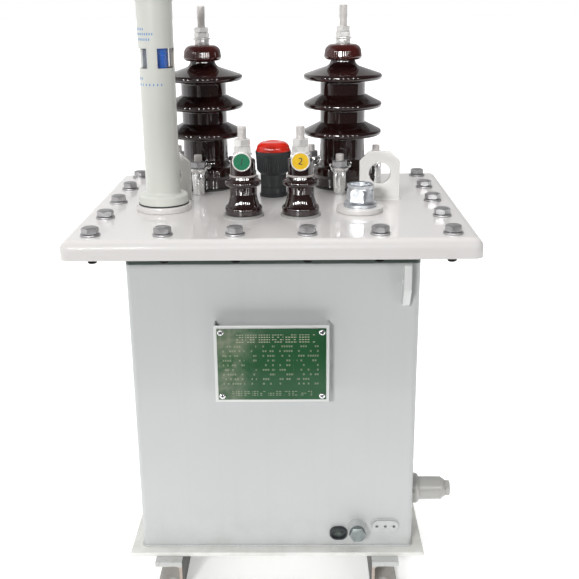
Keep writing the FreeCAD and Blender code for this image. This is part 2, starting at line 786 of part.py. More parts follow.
def all_parts():
    left_right = (("left", -1), ("right", 1))
    parts = {"base_plate": base_plate(),
             "tank_front_shell": tank_shell(-1),
             "tank_back_shell": tank_shell(1),
             "tank_flange": tank_flange(),
             "tank_hooks": tank_hooks(),
             "cover_gasket": cover_gasket(),
             "cover": cover(),
             "hv_gaskets": Part.makeCompound([hv_gasket(-1), hv_gasket(1)]),
             "lv_gaskets": Part.makeCompound([lv_gasket(-1), lv_gasket(1)]),
             "tap_changer_body": tap_changer_body(),
             "tap_changer_cap": tap_changer_cap(),
             "gauge_seat": gauge_seat(),
             "gauge_gasket": gauge_gasket(),
             "gauge_tube": gauge_tube(),
             "gauge_glass": gauge_glass(),
             "gauge_float": gauge_float(),
             "gauge_cap": gauge_cap(),
             "filler_pad": filler_pad(),
             "filler_plug": filler_plug(),
             "nameplate_bracket": nameplate_bracket(),
             "nameplate": nameplate(),
             "drain_boss": drain_boss(),
             "drain_plug": drain_plug(),
             "earth_terminal_cap": earth_cap(),
             "oval_plate": oval_plate(),
             "outlet_pipe": outlet_pipe(),
             "outlet_plug": outlet_plug()}
    for name, side in left_right:
        parts["base_foot_" + name] = base_foot(side)
        parts["lifting_lug_" + name] = lifting_lug(side)
        parts["hv_bushing_" + name] = hv_bushing(side)
        parts["hv_cap_" + name] = hv_cap(side)
        parts["hv_clamps_" + name] = hv_clamps(side)
        parts["hv_terminal_" + name] = hv_terminal(side)
        parts["lv_bushing_" + name] = lv_bushing(side)
        parts["lv_cap_" + name] = lv_cap(side)
        parts["lv_terminal_" + name] = lv_terminal(side)
        parts["phase_tag_" + name] = phase_tag(side)
    return parts


def main():
    os.makedirs("parts", exist_ok=True)
    parts = all_parts()
    for name, shape in parts.items():
        if not shape.isValid() or shape.Volume <= 0:
            raise ValueError(name + " is not a sound solid")
        shape.exportStep("parts/" + name + ".step")
        print(name, len(shape.Solids), "solid(s)", round(shape.Volume), "mm3")
    print(len(parts), "parts")


main()
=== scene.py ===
import math

import bmesh
import bpy
from mathutils import Matrix, Vector


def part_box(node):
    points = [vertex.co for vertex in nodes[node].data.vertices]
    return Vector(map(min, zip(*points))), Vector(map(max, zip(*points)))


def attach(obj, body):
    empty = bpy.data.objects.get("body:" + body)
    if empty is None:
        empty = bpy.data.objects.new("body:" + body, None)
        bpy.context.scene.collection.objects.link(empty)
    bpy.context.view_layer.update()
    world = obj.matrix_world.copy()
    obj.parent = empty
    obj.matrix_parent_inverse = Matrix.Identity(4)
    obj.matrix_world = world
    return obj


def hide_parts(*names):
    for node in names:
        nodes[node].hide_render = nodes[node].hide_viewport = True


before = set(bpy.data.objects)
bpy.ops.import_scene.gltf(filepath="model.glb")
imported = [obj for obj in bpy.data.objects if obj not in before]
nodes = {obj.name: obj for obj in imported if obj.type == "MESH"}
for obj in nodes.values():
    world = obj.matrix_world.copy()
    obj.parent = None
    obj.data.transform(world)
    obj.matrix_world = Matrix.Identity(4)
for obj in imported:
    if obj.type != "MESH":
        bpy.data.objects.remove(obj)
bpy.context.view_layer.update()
mm = 0.001
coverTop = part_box("cover")[1].z
print("frame loaded:", len(nodes), "nodes")


class Value:
    # one socket, with arithmetic that adds Math nodes
    def __init__(self, tree, socket):
        self.tree = tree
        self.socket = socket

    def math(self, operation, *others):
        return self.tree.node("ShaderNodeMath", {"operation": operation}, [self, *others])

    def __add__(self, other):
        return self.math("ADD", other)

    def __mul__(self, other):
        return self.math("MULTIPLY", other)

    def __sub__(self, other):
        return self.math("SUBTRACT", other)

    def __rsub__(self, other):
        return self.tree.node("ShaderNodeMath", {"operation": "SUBTRACT"}, [other, self])

    def __truediv__(self, other):
        return self.math("DIVIDE", other)

    def __gt__(self, other):
        return self.math("GREATER_THAN", other)

    def __lt__(self, other):
        return self.math("LESS_THAN", other)

    __radd__ = __add__
    __rmul__ = __mul__

    def out(self, name):
        return Value(self.tree, self.socket.node.outputs[name])


class Tree:
    # wraps a shader or geometry tree: one method adds any node
    def __init__(self, nodeTree):
        self.nodeTree = nodeTree

    def put(self, socket, value):
        if isinstance(value, Value):
            self.nodeTree.links.new(value.socket, socket)
        elif value is not None:
            socket.default_value = value

    def node(self, kind, settings=None, inputs=None):
        made = self.nodeTree.nodes.new(kind)
        for key, value in (settings or {}).items():
            if key == "stops":
                self.setStops(made.color_ramp, value)
            else:
                setattr(made, key, value)
        pairs = inputs.items() if isinstance(inputs, dict) else enumerate(inputs or [])
        for key, value in pairs:
            self.put(made.inputs[key], value)
        shown = [s for s in made.outputs if s.enabled]
        return Value(self, shown[0]) if shown else made

    def setStops(self, ramp, stops):
        while len(ramp.elements) < len(stops):
            ramp.elements.new(0.5)
        for element, (position, level) in zip(ramp.elements, stops):
            element.position = position
            element.color = (level, level, level, 1)


class Paint(Tree):
    # a Principled material that is filled in node by node
    def __init__(self, name, color, roughness, metallic=0.0, **fixed):
        self.material = bpy.data.materials.new(name)
        self.material.use_nodes = True
        super().__init__(self.material.node_tree)
        self.shader = self.nodeTree.nodes["Principled BSDF"]
        self.color = (*color, 1)
        self.set("Base Color", self.color)
        self.set("Roughness", roughness)
        self.set("Metallic", metallic)
        for key, value in fixed.items():
            self.set(key.replace("_", " "), value)
        self.material.diffuse_color = self.color

    def set(self, name, value):
        self.put(self.shader.inputs[name], value)

    def place(self, scale=(1, 1, 1), location=(0, 0, 0), rotation=(0, 0, 0)):
        where = self.node("ShaderNodeTexCoord").out("Object")
        if scale == (1, 1, 1) and location == (0, 0, 0) and rotation == (0, 0, 0):
            return where
        return self.node("ShaderNodeMapping", {}, {"Vector": where, "Scale": scale, "Location": location,
                                                   "Rotation": rotation})

    def noise(self, scale, detail=2.0, rough=0.5, where=None):
        return self.node("ShaderNodeTexNoise", {}, {"Vector": where or self.place(), "Scale": scale,
                                                    "Detail": detail, "Roughness": rough})

    def ramp(self, value, *stops):
        return self.node("ShaderNodeValToRGB", {"stops": stops}, {"Fac": value})

    def mix(self, factor, first, second):
        made = self.nodeTree.nodes.new("ShaderNodeMix")
        made.data_type = "RGBA"
        self.put(made.inputs[0], factor)
        self.put(made.inputs[6], first)
        self.put(made.inputs[7], second)
        return Value(self, made.outputs[2])

    def axis(self, name):
        return self.node("ShaderNodeSeparateXYZ", {}, [self.place()]).out(name)

    def relief(self, *layers):
        # layers of (height, distance in mm, strength), the finest last
        normal = None
        for height, distance, strength in layers:
            normal = self.node("ShaderNodeBump", {}, {"Height": height, "Distance": distance * mm,
                                                      "Strength": strength, "Normal": normal})
        self.set("Normal", normal)


def tinted(color, by=1.0, lift=0.0):
    # the colour times one number, or one for each channel, with full alpha
    scales = by if isinstance(by, tuple) else (by, by, by)
    return (*[min(1, c * s + lift) for c, s in zip(color, scales)], 1)


# a painted shadow: the tank wall just under the cover's rim, along the joint under the cover, darkened as the
# rim's cast shadow
rimShadowLine = {"height": 0.4672, "ragged": 0.0016, "steepness": 200, "share": 0.96,
           "color": (0.060, 0.084, 0.071)}
# painted shade: brown inside the right half of the gauge's sleeve, where its inner wall lies in shade
sleeveShade = {"x": -0.150, "y": -0.041, "radius": 0.0215, "color": (0.27, 0.23, 0.18)}
# the cover's flat top is polished, its pressed rim is satin
satinRim = {"below": 0.5115, "coatLost": 0.92, "rougher": 0.14}
# dust that settles low down, between these heights
dustLevels = {"full": 0.05, "none": 0.135}


def sprayedEnamel(name, color, roughness, peel, wave, dust, streak=0.0, coat=(0.25, 0.08, 1.5),
                  rimShadowed=False, sleeveShaded=False, satin=False):
    # sprayed paint: soft waves in the sheet, orange peel, tone drift, dust low down
    coatWeight, coatRoughness, coatIor = coat
    paint = Paint(name, color, roughness, Coat_Weight=coatWeight, Coat_Roughness=coatRoughness,
                  Coat_IOR=coatIor)
    drift = paint.noise(6, 3)
    speck = paint.ramp(paint.noise(420, 2, 0.6), (0.68, 0), (0.78, 1))
    tone = paint.mix(drift, tinted(color, 0.965), tinted(color, 1.03))
    grime = tinted(color, (0.62, 0.58, 0.50))
    low = paint.ramp(paint.axis("Z"), (dustLevels["full"], 1), (dustLevels["none"], 0))
    cloud = paint.ramp(paint.noise(38, 5, 0.65), (0.42, 0), (0.78, 1))
    tone = paint.mix(low * cloud * dust, tone, grime)
    if streak:
        runs = paint.noise(1, 3, 0.5, paint.place((95, 95, 3.2)))
        tone = paint.mix(paint.ramp(runs, (0.52, 0), (0.74, 1)) * streak, tone, grime)
    tone = paint.mix(speck * (0.04 + dust * 0.4), tone, grime)
    if rimShadowed:
        # painted shadow of the cover's rim: above this ragged height the wall turns dark
        above = paint.axis("Z") + paint.noise(30, 2) * rimShadowLine["ragged"] - rimShadowLine["height"]
        edge = paint.ramp(above * rimShadowLine["steepness"], (0.0, 0), (0.26, 1))
        tone = paint.mix(edge * rimShadowLine["share"], tone, tinted(rimShadowLine["color"]))
    if sleeveShaded:
        # painted shade inside the right half of the sleeve
        out = ((paint.axis("X") - sleeveShade["x"]) * (paint.axis("X") - sleeveShade["x"])
               + (paint.axis("Y") - sleeveShade["y"]) * (paint.axis("Y") - sleeveShade["y"]))
        inside = (out < sleeveShade["radius"] ** 2) * (paint.axis("X") > sleeveShade["x"])
        tone = paint.mix(inside, tone, tinted(sleeveShade["color"]))
    paint.set("Base Color", tone)
    dull = 0
    if satin:
        dull = paint.ramp((paint.axis("Z") - satinRim["below"]) * 100, (0.0, 1), (0.2, 0))
        paint.set("Coat Weight", (1 - dull * satinRim["coatLost"]) * coatWeight)
        dull = dull * satinRim["rougher"]
    paint.set("Roughness", roughness - 0.04 + paint.noise(55, 3) * 0.1 + dull)
    paint.relief((paint.noise(9, 1), 2.2, wave), (paint.noise(520, 1), 0.10, peel),
                 (speck, 0.15, 0.02 + dust * 0.6))
    return paint.material


footColors = {"paint": (0.44, 0.45, 0.44), "grey": (0.46, 0.47, 0.46), "darkPrimer": (0.30, 0.19, 0.13),
              "palePrimer": (0.40, 0.33, 0.27), "rust": (0.19, 0.10, 0.06), "web": (0.030, 0.034, 0.034)}


def footEnamel():
    # grey outside; thin brown primer and rust show inside the channel and at the edges; the inner face of
    # each web is painted near black as painted shade
    colors = {key: tinted(color) for key, color in footColors.items()}
    paint = Paint("footEnamel", footColors["paint"], 0.5)
    low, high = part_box("base_foot_right")
    height = (paint.axis("Z") - (low.z + high.z) / 2).math("ABSOLUTE")
    inside = paint.ramp(height * 10, (0.155, 1), (0.19, 0))
    patch = paint.ramp(paint.noise(70, 5, 0.65), (0.38, 0), (0.62, 1))
    rust = paint.ramp(paint.noise(150, 4, 0.6), (0.56, 0), (0.70, 1))
    primer = paint.mix(patch, colors["darkPrimer"], colors["palePrimer"])
    tone = paint.mix(inside * (0.35 + patch * 0.65), colors["grey"], primer)
    tone = paint.mix(rust * 0.25, tone, colors["rust"])
    # painted shade: the inner faces of the webs, turned to the middle, go near black
    web = paint.axis("X").math("ABSOLUTE") < low.x + 0.4 * mm
    tone = paint.mix(web * 0.9, tone, colors["web"])
    paint.set("Base Color", tone)
    paint.set("Roughness", 0.46 + rust * 0.3)
    paint.relief((paint.noise(60, 4), 0.6, 0.25), (paint.noise(500, 3, 0.6), 0.2, 0.35))
    return paint.material


# vertical turning marks on the necks of the high-voltage bushings; heights in mm over the cover
neckFlutes = {"x": 0.102, "y": 0.108, "from": 44, "to": 76, "count": 44}


def brownGlaze(name, color, pool, flutes=None):
    # thick wet-looking glaze, darker in random patches
    paint = Paint(name, color, 0.07, Coat_Weight=0.3, Coat_Roughness=0.02, Coat_IOR=1.6,
                  Specular_IOR_Level=0.65)
    cloud = paint.noise(28, 3, 0.55)
    fleck = paint.ramp(paint.noise(700, 2, 0.6), (0.66, 0), (0.76, 1))
    tone = paint.mix(cloud, tinted(pool), tinted(color))
    tone = paint.mix(fleck * 0.35, tone, tinted(color, (2.4, 2.2, 2.0)))
    paint.set("Base Color", tone)
    paint.set("Roughness", 0.05 + cloud * 0.07)
    layers = [(paint.noise(26, 2), 0.8, 0.16), (paint.noise(240, 2), 0.06, 0.3)]
    if flutes:
        x = paint.axis("X").math("ABSOLUTE") - flutes["x"]
        y = paint.axis("Y") - flutes["y"]
        wave = (y.math("ARCTAN2", x) * flutes["count"]).math("SINE") * 0.5 + 0.5
        z = (paint.axis("Z") - coverTop) / mm
        band = (z > flutes["from"]) * (z < flutes["to"])
        layers.insert(1, (wave * band, 0.35, 0.22))
    paint.relief(*layers)
    return paint.material


def castAlloy():
    paint = Paint("castAlloy", (0.55, 0.55, 0.54), 0.32, 1.0)
    grain = paint.noise(900, 3, 0.6)
    patch = paint.noise(80, 4, 0.6)
    paint.set("Base Color", paint.mix(patch, (0.74, 0.74, 0.73, 1), (0.90, 0.90, 0.89, 1)))
    paint.set("Roughness", 0.22 + patch * 0.10)
    paint.relief((patch, 0.03, 0.03), (grain, 0.02, 0.12))
    return paint.material


def zincPlate(name, dark, light, roughness, metallic=1.0):
    # dull plating with brush marks and darker handling stains
    paint = Paint(name, light, roughness, metallic)
    stain = paint.noise(120, 4, 0.6)
    scratch = paint.noise(1, 2, 0.5, paint.place((240, 240, 2600)))
    paint.set("Base Color", paint.mix(stain, tinted(dark), tinted(light)))
    paint.set("Roughness", roughness - 0.08 + stain * 0.2)
    paint.relief((stain, 0.25, 0.2), (scratch, 0.05, 0.35))
    return paint.material


def spangle():
    # hot-dip zinc: flat crystals of slightly different tone and shine
    paint = Paint("spangle", (0.62, 0.65, 0.68), 0.3, 1.0)
    crystal = paint.node("ShaderNodeTexVoronoi", {"feature": "F1"}, {"Vector": paint.place(), "Scale": 190})
    level = paint.node("ShaderNodeSeparateXYZ", {}, [crystal.out("Color")])
    cloud = paint.noise(90, 3)
    paint.set("Base Color", paint.mix(level, (0.60, 0.63, 0.66, 1), (0.82, 0.85, 0.88, 1)))
    paint.set("Roughness", 0.27 + level * 0.12 + cloud * 0.08)
    paint.relief((cloud, 0.15, 0.06), (level, 0.03, 0.10), (paint.noise(700, 2), 0.03, 0.12))
    return paint.material


def rubber(name, color):
    paint = Paint(name, color, 0.62)
    bloom = paint.noise(150, 4, 0.6)
    paint.set("Base Color", paint.mix(bloom, tinted(color), tinted(color, 1.7, 0.01)))
    paint.set("Roughness", 0.5 + bloom * 0.25)
    paint.relief((paint.noise(900, 2), 0.1, 0.4), (bloom, 0.2, 0.2))
    return paint.material


def moulding(name, color, roughness, grain, coat=0.0):
    paint = Paint(name, color, roughness, Coat_Weight=coat, Coat_Roughness=0.06)
    haze = paint.noise(60, 4, 0.6)
    paint.set("Base Color", paint.mix(haze, tinted(color, 0.85), tinted(color, 1.2, 0.002)))
    paint.set("Roughness", roughness - 0.05 + haze * 0.12)
    paint.relief((paint.noise(40, 2), 0.5, 0.06), (paint.noise(1100, 2), 0.06, grain))
    return paint.material


def sightGlass():
    # clear in the middle, with a film that shows at the edges; the right half is made more opaque and brown
    # as painted shade
    paint = Paint("sightGlass", (0.30, 0.275, 0.235), 0.06, Coat_Weight=0.2, Coat_Roughness=0.02)
    film = paint.noise(70, 4, 0.6)
    paint.set("Roughness", 0.03 + film * 0.12)
    edge = paint.node("ShaderNodeLayerWeight", {}, {"Blend": 0.5}).out("Facing")
    low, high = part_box("gauge_glass")
    # painted shade: the right half of the glass is made more opaque and brown
    side = paint.axis("X") > (low.x + high.x) / 2
    paint.set("Alpha", 0.05 + (edge * edge) * (edge * edge) * 0.55 + side * edge * edge * 0.40)
    paint.relief((film, 0.2, 0.1))
    return paint.material


# blocks of marks: bottom, top, left and right edge, then rows, columns, share filled and seed
plateHeading = ((0.81, 0.92), (0.17, 0.90), (30, 40, 0.84, 3))
plateTable = ((0.185, 0.77), (0.05, 0.93), (15.2, 46, 0.50, 11))
plateFoot = ((0.045, 0.125), (0.13, 0.87), (38, 34, 0.66, 7))
plateGaps = ((0.25, 0.31), (0.36, 0.41), (0.53, 0.57), (0.70, 0.73))
# the haze colour is that of a painted reflection
plateColors = {"base": (0.02, 0.08, 0.04), "darkGreen": (0.004, 0.042, 0.011), "green": (0.010, 0.092, 0.028),
               "mark": (0.50, 0.50, 0.36), "haze": (0.32, 0.31, 0.24)}


def etchedPlate():
    # green enamel with rows of plain dashes left bright, like an unreadable data table
    low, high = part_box("nameplate")
    colors = {key: tinted(color) for key, color in plateColors.items()}
    paint = Paint("etchedPlate", plateColors["base"], 0.34, Coat_Weight=0.1, Coat_Roughness=0.1,
                  Specular_IOR_Level=0.3)
    u = (paint.axis("X") - low.x) / (high.x - low.x)
    v = (paint.axis("Z") - low.z) / (high.z - low.z)

    def near(value, target, half):
        return (value - target).math("ABSOLUTE") < half

    def between(value, start, end):
        return (value > start) * (value < end)

    def dashes(rows, columns, share, seed):
        row = (v * rows).math("FLOOR")
        column = (u * columns).math("FLOOR")
        pick = paint.node("ShaderNodeCombineXYZ", {}, [column + seed, row, 0.0])
        dice = paint.node("ShaderNodeTexWhiteNoise", {"noise_dimensions": "3D"}, {"Vector": pick})
        fill = near((v * rows).math("FRACT"), 0.5, 0.20) * near((u * columns).math("FRACT"), 0.5, 0.36)
        return fill * (dice.out("Value") < share)

    def block(tall, wide, marks):
        return between(v, *tall) * between(u, *wide) * dashes(*marks)

    heading = block(*plateHeading)
    words = 1 - near((u * 8.2).math("FRACT"), 0.06, 0.09)
    table = block(*plateTable)
    empty = between(u, *plateGaps[0])
    for gap in plateGaps[1:]:
        empty = empty + between(u, *gap)
    filled = 1 - empty.math("MINIMUM", 1.0)
    foot = block(*plateFoot)
    places = 1 - near((u * 13.5).math("FRACT"), 0.08, 0.16)
    bright = (heading * words * 0.95 + table * filled * 0.46 + foot * places * 0.6).math("MINIMUM", 1.0)
    wear = paint.noise(260, 4, 0.6)
    shade = paint.noise(18, 3)
    green = paint.mix(shade, colors["darkGreen"], colors["green"])
    tone = paint.mix(bright * (0.40 + wear * 0.50), green, colors["mark"])
    # a painted reflection: a pale cloudy haze, mostly on one side, stands for a reflection on the plate
    cloud = paint.ramp(paint.noise(34, 5, 0.62), (0.40, 0), (0.72, 1))
    side = paint.ramp(u + v * -0.12, (0.05, 1), (0.36, 0))
    tone = paint.mix(cloud * side * 0.62, tone, colors["haze"])
    paint.set("Base Color", tone)
    paint.set("Roughness", 0.30 + wear * 0.16)
    paint.relief((bright, 0.08, 0.5), (wear, 0.08, 0.15))
    return paint.material


def tagEnamel(name, color):
    paint = Paint(name, color, 0.3, Coat_Weight=0.5, Coat_Roughness=0.1)
    shade = paint.noise(140, 4, 0.6)
    paint.set("Base Color", paint.mix(shade, tinted(color, 0.8), tinted(color, 1.12)))
    paint.set("Roughness", 0.24 + shade * 0.2)
    paint.relief((shade, 0.2, 0.25))
    return paint.material


# colour, roughness, orange peel, wave, dust, then streaks and the clear coat (weight, roughness, IOR)
enamels = {"tank": ((0.475, 0.487, 0.487), 0.40, 0.20, 0.10, 0.35, 0.04),
           "base": ((0.69, 0.69, 0.665), 0.42, 0.20, 0.10, 0.5),
           "cover": ((0.625, 0.605, 0.592), 0.34, 0.12, 0.13, 0.0, 0.0, (0.8, 0.05, 1.5)),
           "lug": ((0.78, 0.77, 0.745), 0.25, 0.12, 0.15, 0.0, 0.0, (0.4, 0.08, 1.5)),
           "gauge": ((0.60, 0.61, 0.565), 0.34, 0.15, 0.05, 0.0),
           "gaugeTube": ((0.60, 0.61, 0.565), 0.34, 0.15, 0.05, 0.0),
           "pipe": ((0.36, 0.355, 0.34), 0.32, 0.5, 0.35, 0.0, 0.0, (0.3, 0.1, 1.5)),
           "bracket": ((0.60, 0.61, 0.60), 0.36, 0.2, 0.1, 0.0)}
enamelExtras = {"tank": "rimShadowed", "gaugeTube": "sleeveShaded", "cover": "satin"}
# name, darkest and lightest colour, roughness, metallic
platings = {"zinc": ("zincPlate", (0.28, 0.28, 0.285), (0.56, 0.55, 0.56), 0.42, 0.85),
            "darkSteel": ("darkSteel", (0.02, 0.02, 0.02), (0.07, 0.07, 0.07), 0.5, 0.6),
            "paleStud": ("paleStud", (0.60, 0.575, 0.56), (0.80, 0.775, 0.755), 0.38, 0.15),
            "brightZinc": ("brightZinc", (0.74, 0.73, 0.71), (0.92, 0.91, 0.89), 0.30, 0.45),
            "chrome": ("screwChrome", (0.70, 0.70, 0.70), (0.90, 0.90, 0.90), 0.22),
            "dimScrew": ("dimScrew", (0.03, 0.04, 0.036), (0.09, 0.11, 0.10), 0.4, 0.5),
            # near-black for the nuts and bolt ends under the cover: dark steel, painted darker still as
            # painted shade
            "oilBlack": ("oilBlack", (0.005, 0.005, 0.005), (0.014, 0.014, 0.014), 0.6, 0.2),
            "dullPlug": ("dullPlug", (0.13, 0.15, 0.15), (0.30, 0.33, 0.33), 0.45, 0.9)}
rubbers = {"blackRubber": (0.012, 0.014, 0.013), "greyRubber": (0.21, 0.21, 0.20),
           "paleRubber": (0.30, 0.27, 0.26)}
# name, colour, roughness, grain, clear coat
mouldings = {"black": ("blackMoulding", (0.018, 0.022, 0.024), 0.42, 0.3),
             "red": ("redMoulding", (0.66, 0.020, 0.008), 0.16, 0.05, 0.3),
             "blue": ("blueFloat", (0.006, 0.17, 0.80), 0.25, 0.1, 0.2),
             "ink": ("inkMark", (0.02, 0.03, 0.04), 0.5, 0.1),
             "scaleInk": ("scaleInk", (0.10, 0.26, 0.55), 0.5, 0.1)}

finish = {"foot": footEnamel(),
          "brown": brownGlaze("brownGlaze", (0.024, 0.0075, 0.0065), (0.009, 0.0035, 0.0035), neckFlutes),
          "redBrown": brownGlaze("redBrownGlaze", (0.080, 0.009, 0.006), (0.035, 0.005, 0.004)),
          "alloy": castAlloy(),
          "spangle": spangle(),
          "glass": sightGlass(),
          "plate": etchedPlate(),
          "green": tagEnamel("greenTag", (0.008, 0.20, 0.09)),
          "yellow": tagEnamel("yellowTag", (0.90, 0.56, 0.008))}
for key, values in enamels.items():
    extra = {enamelExtras[key]: True} if key in enamelExtras else {}
    finish[key] = sprayedEnamel(key + "Enamel", *values, **extra)
for key, values in platings.items():
    finish[key] = zincPlate(*values)
for key, color in rubbers.items():
    finish[key] = rubber(key, color)
for key, values in mouldings.items():
    finish[key] = moulding(*values)
print("finishes made:", len(finish))


def cornersOf(node):
    # lowest and highest corner of a frame piece, in millimetres
    low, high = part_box(node)
    return low / mm, high / mm


def extentOf(node):
    # the same corners and the middle between them
    low, high = cornersOf(node)
    return low, high, (low + high) / 2


def moved(x, y, z):
    return Matrix.Translation((x, y, z))


def turned(degrees, axis="Z"):
    return Matrix.Rotation(math.radians(degrees), 4, axis)


def raised(outline, by):
    # an outline of (radius, height, ...) lifted along the axis
    return [(radius, height + by, *rest) for radius, height, *rest in outline]


def shaded(mesh, sharp):
    mesh.polygons.foreach_set("use_smooth", [True] * len(mesh.polygons))
    mesh.set_sharp_from_angle(angle=math.radians(sharp))
    mesh.update()


def settled(piece, slot, *replaced):
    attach(piece, "root")
    if replaced:
        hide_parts(*replaced)
    return piece


def eased(outline, steps=4):
    # a third value on a corner is the radius of the arc that takes its place
    result = []
    for i, item in enumerate(outline):
        corner = Vector(item[:2])
        if len(item) < 3 or i in (0, len(outline) - 1):
            result.append(tuple(corner))
            continue
        back = Vector(outline[i - 1][:2]) - corner
        on = Vector(outline[i + 1][:2]) - corner
        half = back.angle(on) / 2
        cut = min(item[2] / math.tan(half), back.length * 0.48, on.length * 0.48)
        radius = cut * math.tan(half)
        back.normalize()
        on.normalize()
        centre = corner + (back + on).normalized() * (radius / math.sin(half))
        first = corner + back * cut - centre
        last = corner + on * cut - centre
        sweep = first.angle(last)
        for k in range(steps + 1):
            part = k / steps
            spoke = (first * math.sin((1 - part) * sweep) + last * math.sin(part * sweep)) / math.sin(sweep)
            result.append(tuple(centre + spoke))
    return result


def hexReach(angle, apothem):
    # distance from the axis to a hexagon's side; corners lie at 0, 60, 120 ... degrees
    return apothem / math.cos(math.radians((angle % 60) - 30))


def stadium(length, height, count=48):
    # points of an upright oval with round ends, anticlockwise seen from its front
    end = height / 2
    offset = length / 2 - end
    points = []
    for k in range(count):
        angle = math.tau * (k + 0.5) / count
        shift = offset if math.cos(angle) > 0 else -offset
        points.append((shift + end * math.cos(angle), end * math.sin(angle)))
    return points


class Shape:
    # gathers faces in millimetres; "at" places what is added next
    def __init__(self, at=Matrix.Identity(4)):
        self.points = []
        self.faces = []
        self.tones = []
        self.at = at

    def loop(self, points):
        start = len(self.points)
        self.points += [self.at @ Vector(p) for p in points]
        return range(start, len(self.points))

    def circle(self, radius, z, sides):
        if radius < 0.001:
            return self.loop([(0, 0, z)])
        steps = [math.tau * s / sides for s in range(sides)]
        return self.loop([(radius * math.cos(a), radius * math.sin(a), z) for a in steps])

    def join(self, first, second, tone=0):
        for i in range(max(len(first), len(second))):
            j = i + 1
            corners = (first[i % len(first)], first[j % len(first)],
                       second[j % len(second)], second[i % len(second)])
            self.faces.append(tuple(dict.fromkeys(corners)))
            self.tones.append(tone)

    def chain(self, loops, tone=0):
        for first, second in zip(loops, loops[1:]):
            self.join(first, second, tone)

    def lathe(self, outline, sides=64, tone=0):
        # from the lower end to the upper end; a zero radius closes the shape
        self.chain([self.circle(radius, z, sides) for radius, z in outline], tone)

    def washer(self, radius, low, high, under, over, sides=48):
        # a plain disc; "under" and "over" round its two edges
        self.lathe(eased([(0, low), (radius, low, under), (radius, high, over), (0, high)], 3), sides)

    def hexNut(self, flats, low, high, turn=0.0, bore=0.3, steps=8, ends=0.955):
        # six flats, with the corners cut back by a cone of 30 degrees at both ends
        rim = flats / 2 * ends
        slope = 0.577
        angles = [60.0 * k / steps for k in range(6 * steps)]
        reach = [hexReach(a, flats / 2) for a in angles]
        cut = [(r - rim) * slope for r in reach]
        spin = [math.radians(a + turn) for a in angles]

        def ring(radii, heights):
            return self.loop([(r * math.cos(a), r * math.sin(a), z) for r, a, z in zip(radii, spin, heights)])

        count = len(angles)
        inner, outer = [bore] * count, [rim] * count
        bottom, top = [low] * count, [high] * count
        self.chain([ring(inner, bottom), ring(outer, bottom), ring(reach, [low + c for c in cut]),
                    ring(reach, [high - c for c in cut]), ring(outer, top), ring(inner, top),
                    ring(inner, bottom)])

    def thread(self, radius, low, high, pitch=1.75, depth=0.9, sides=20, tone=0):
        # one helical groove, cut into the rod ring by ring, five rings to a turn
        chamfer = 1.2
        count = max(4, round((high - low) / pitch * 5))
        loops = [self.circle(0, low, sides)]
        for k in range(count + 1):
            z = low + (high - low) * k / count
            tip = max(0.0, chamfer - (high - z))
            ring = []
            for s in range(sides):
                tooth = abs(2 * ((z / pitch - s / sides) % 1) - 1)
                groove = depth * min(1, max(0, (tooth - 0.15) / 0.7)) * min(1, (high - z) / pitch)
                reach = radius - max(groove, tip)
                angle = math.tau * s / sides
                ring.append((reach * math.cos(angle), reach * math.sin(angle), z))
            loops.append(self.loop(ring))
        loops.append(self.circle(0, high, sides))
        self.chain(loops, tone)

    def bar(self, path, widths, heights, rounding=0.3, steps=3):
        # a bar with rounded corners that follows path; widths lie flat, heights stand up
        loops = []
        for k, spot in enumerate(path):
            spot = Vector(spot)
            along = Vector(path[min(k + 1, len(path) - 1)]) - Vector(path[max(k - 1, 0)])
            side = along.cross(Vector((0, 0, 1))).normalized()
            up = side.cross(along).normalized()
            w, h = widths[k] / 2, heights[k] / 2
            corner = min(w, h) * 2 * rounding
            ring = []
            for cx, cy, start in ((1, 1, 0), (-1, 1, 90), (-1, -1, 180), (1, -1, 270)):
                for s in range(steps + 1):
                    a = math.radians(start + 90 * s / steps)
                    ring.append(spot + side * (cx * (w - corner) + corner * math.cos(a))
                                + up * (cy * (h - corner) + corner * math.sin(a)))
            loops.append(self.loop(ring))
        first, last = self.middleOf(loops[0]), self.middleOf(loops[-1])
        self.chain([last] + loops[::-1] + [first])

    def middleOf(self, loop):
        middle = sum((self.points[i] for i in loop), Vector()) / len(loop)
        return self.loop([self.at.inverted() @ middle])

    def mesh(self, name, *paints, sharp=32):
        mesh = bpy.data.meshes.new(name)
        mesh.from_pydata([p * mm for p in self.points], [], self.faces)
        mesh.validate()
        for key in paints:
            mesh.materials.append(finish[key])
        mesh.polygons.foreach_set("material_index", self.tones)
        shaded(mesh, sharp)
        return mesh

    def piece(self, name, *paints, sharp=32):
        piece = bpy.data.objects.new(name, self.mesh(name, *paints, sharp=sharp))
        bpy.context.collection.objects.link(piece)
        return piece


softening = {"merge": 0.01, "flat": 1.5, "sharp": 32, "segments": 2, "shade": 30}


def softened(name, key, slot, sources, edge):
    # frame pieces with their doubles merged and their sharp edges rounded off
    flat, sharp = math.radians(softening["flat"]), math.radians(softening["sharp"])
    bm = bmesh.new()
    for source in sources:
        bm.from_mesh(nodes[source].data)
    bmesh.ops.remove_doubles(bm, verts=bm.verts, dist=softening["merge"] * mm)
    bmesh.ops.dissolve_limit(bm, angle_limit=flat, verts=bm.verts, edges=bm.edges)
    crisp = [e for e in bm.edges if len(e.link_faces) == 2 and e.calc_face_angle() > sharp]
    bmesh.ops.bevel(bm, geom=crisp, offset=edge * mm, segments=softening["segments"], profile=0.5,
                    affect="EDGES", clamp_overlap=True)
    mesh = bpy.data.meshes.new(name)
    bm.to_mesh(mesh)
    bm.free()
    mesh.materials.clear()
    mesh.materials.append(finish[key])
    mesh.polygons.foreach_set("material_index", [0] * len(mesh.polygons))
    shaded(mesh, softening["shade"])
    piece = bpy.data.objects.new(name, mesh)
    bpy.context.collection.objects.link(piece)
    return settled(piece, slot, *sources)


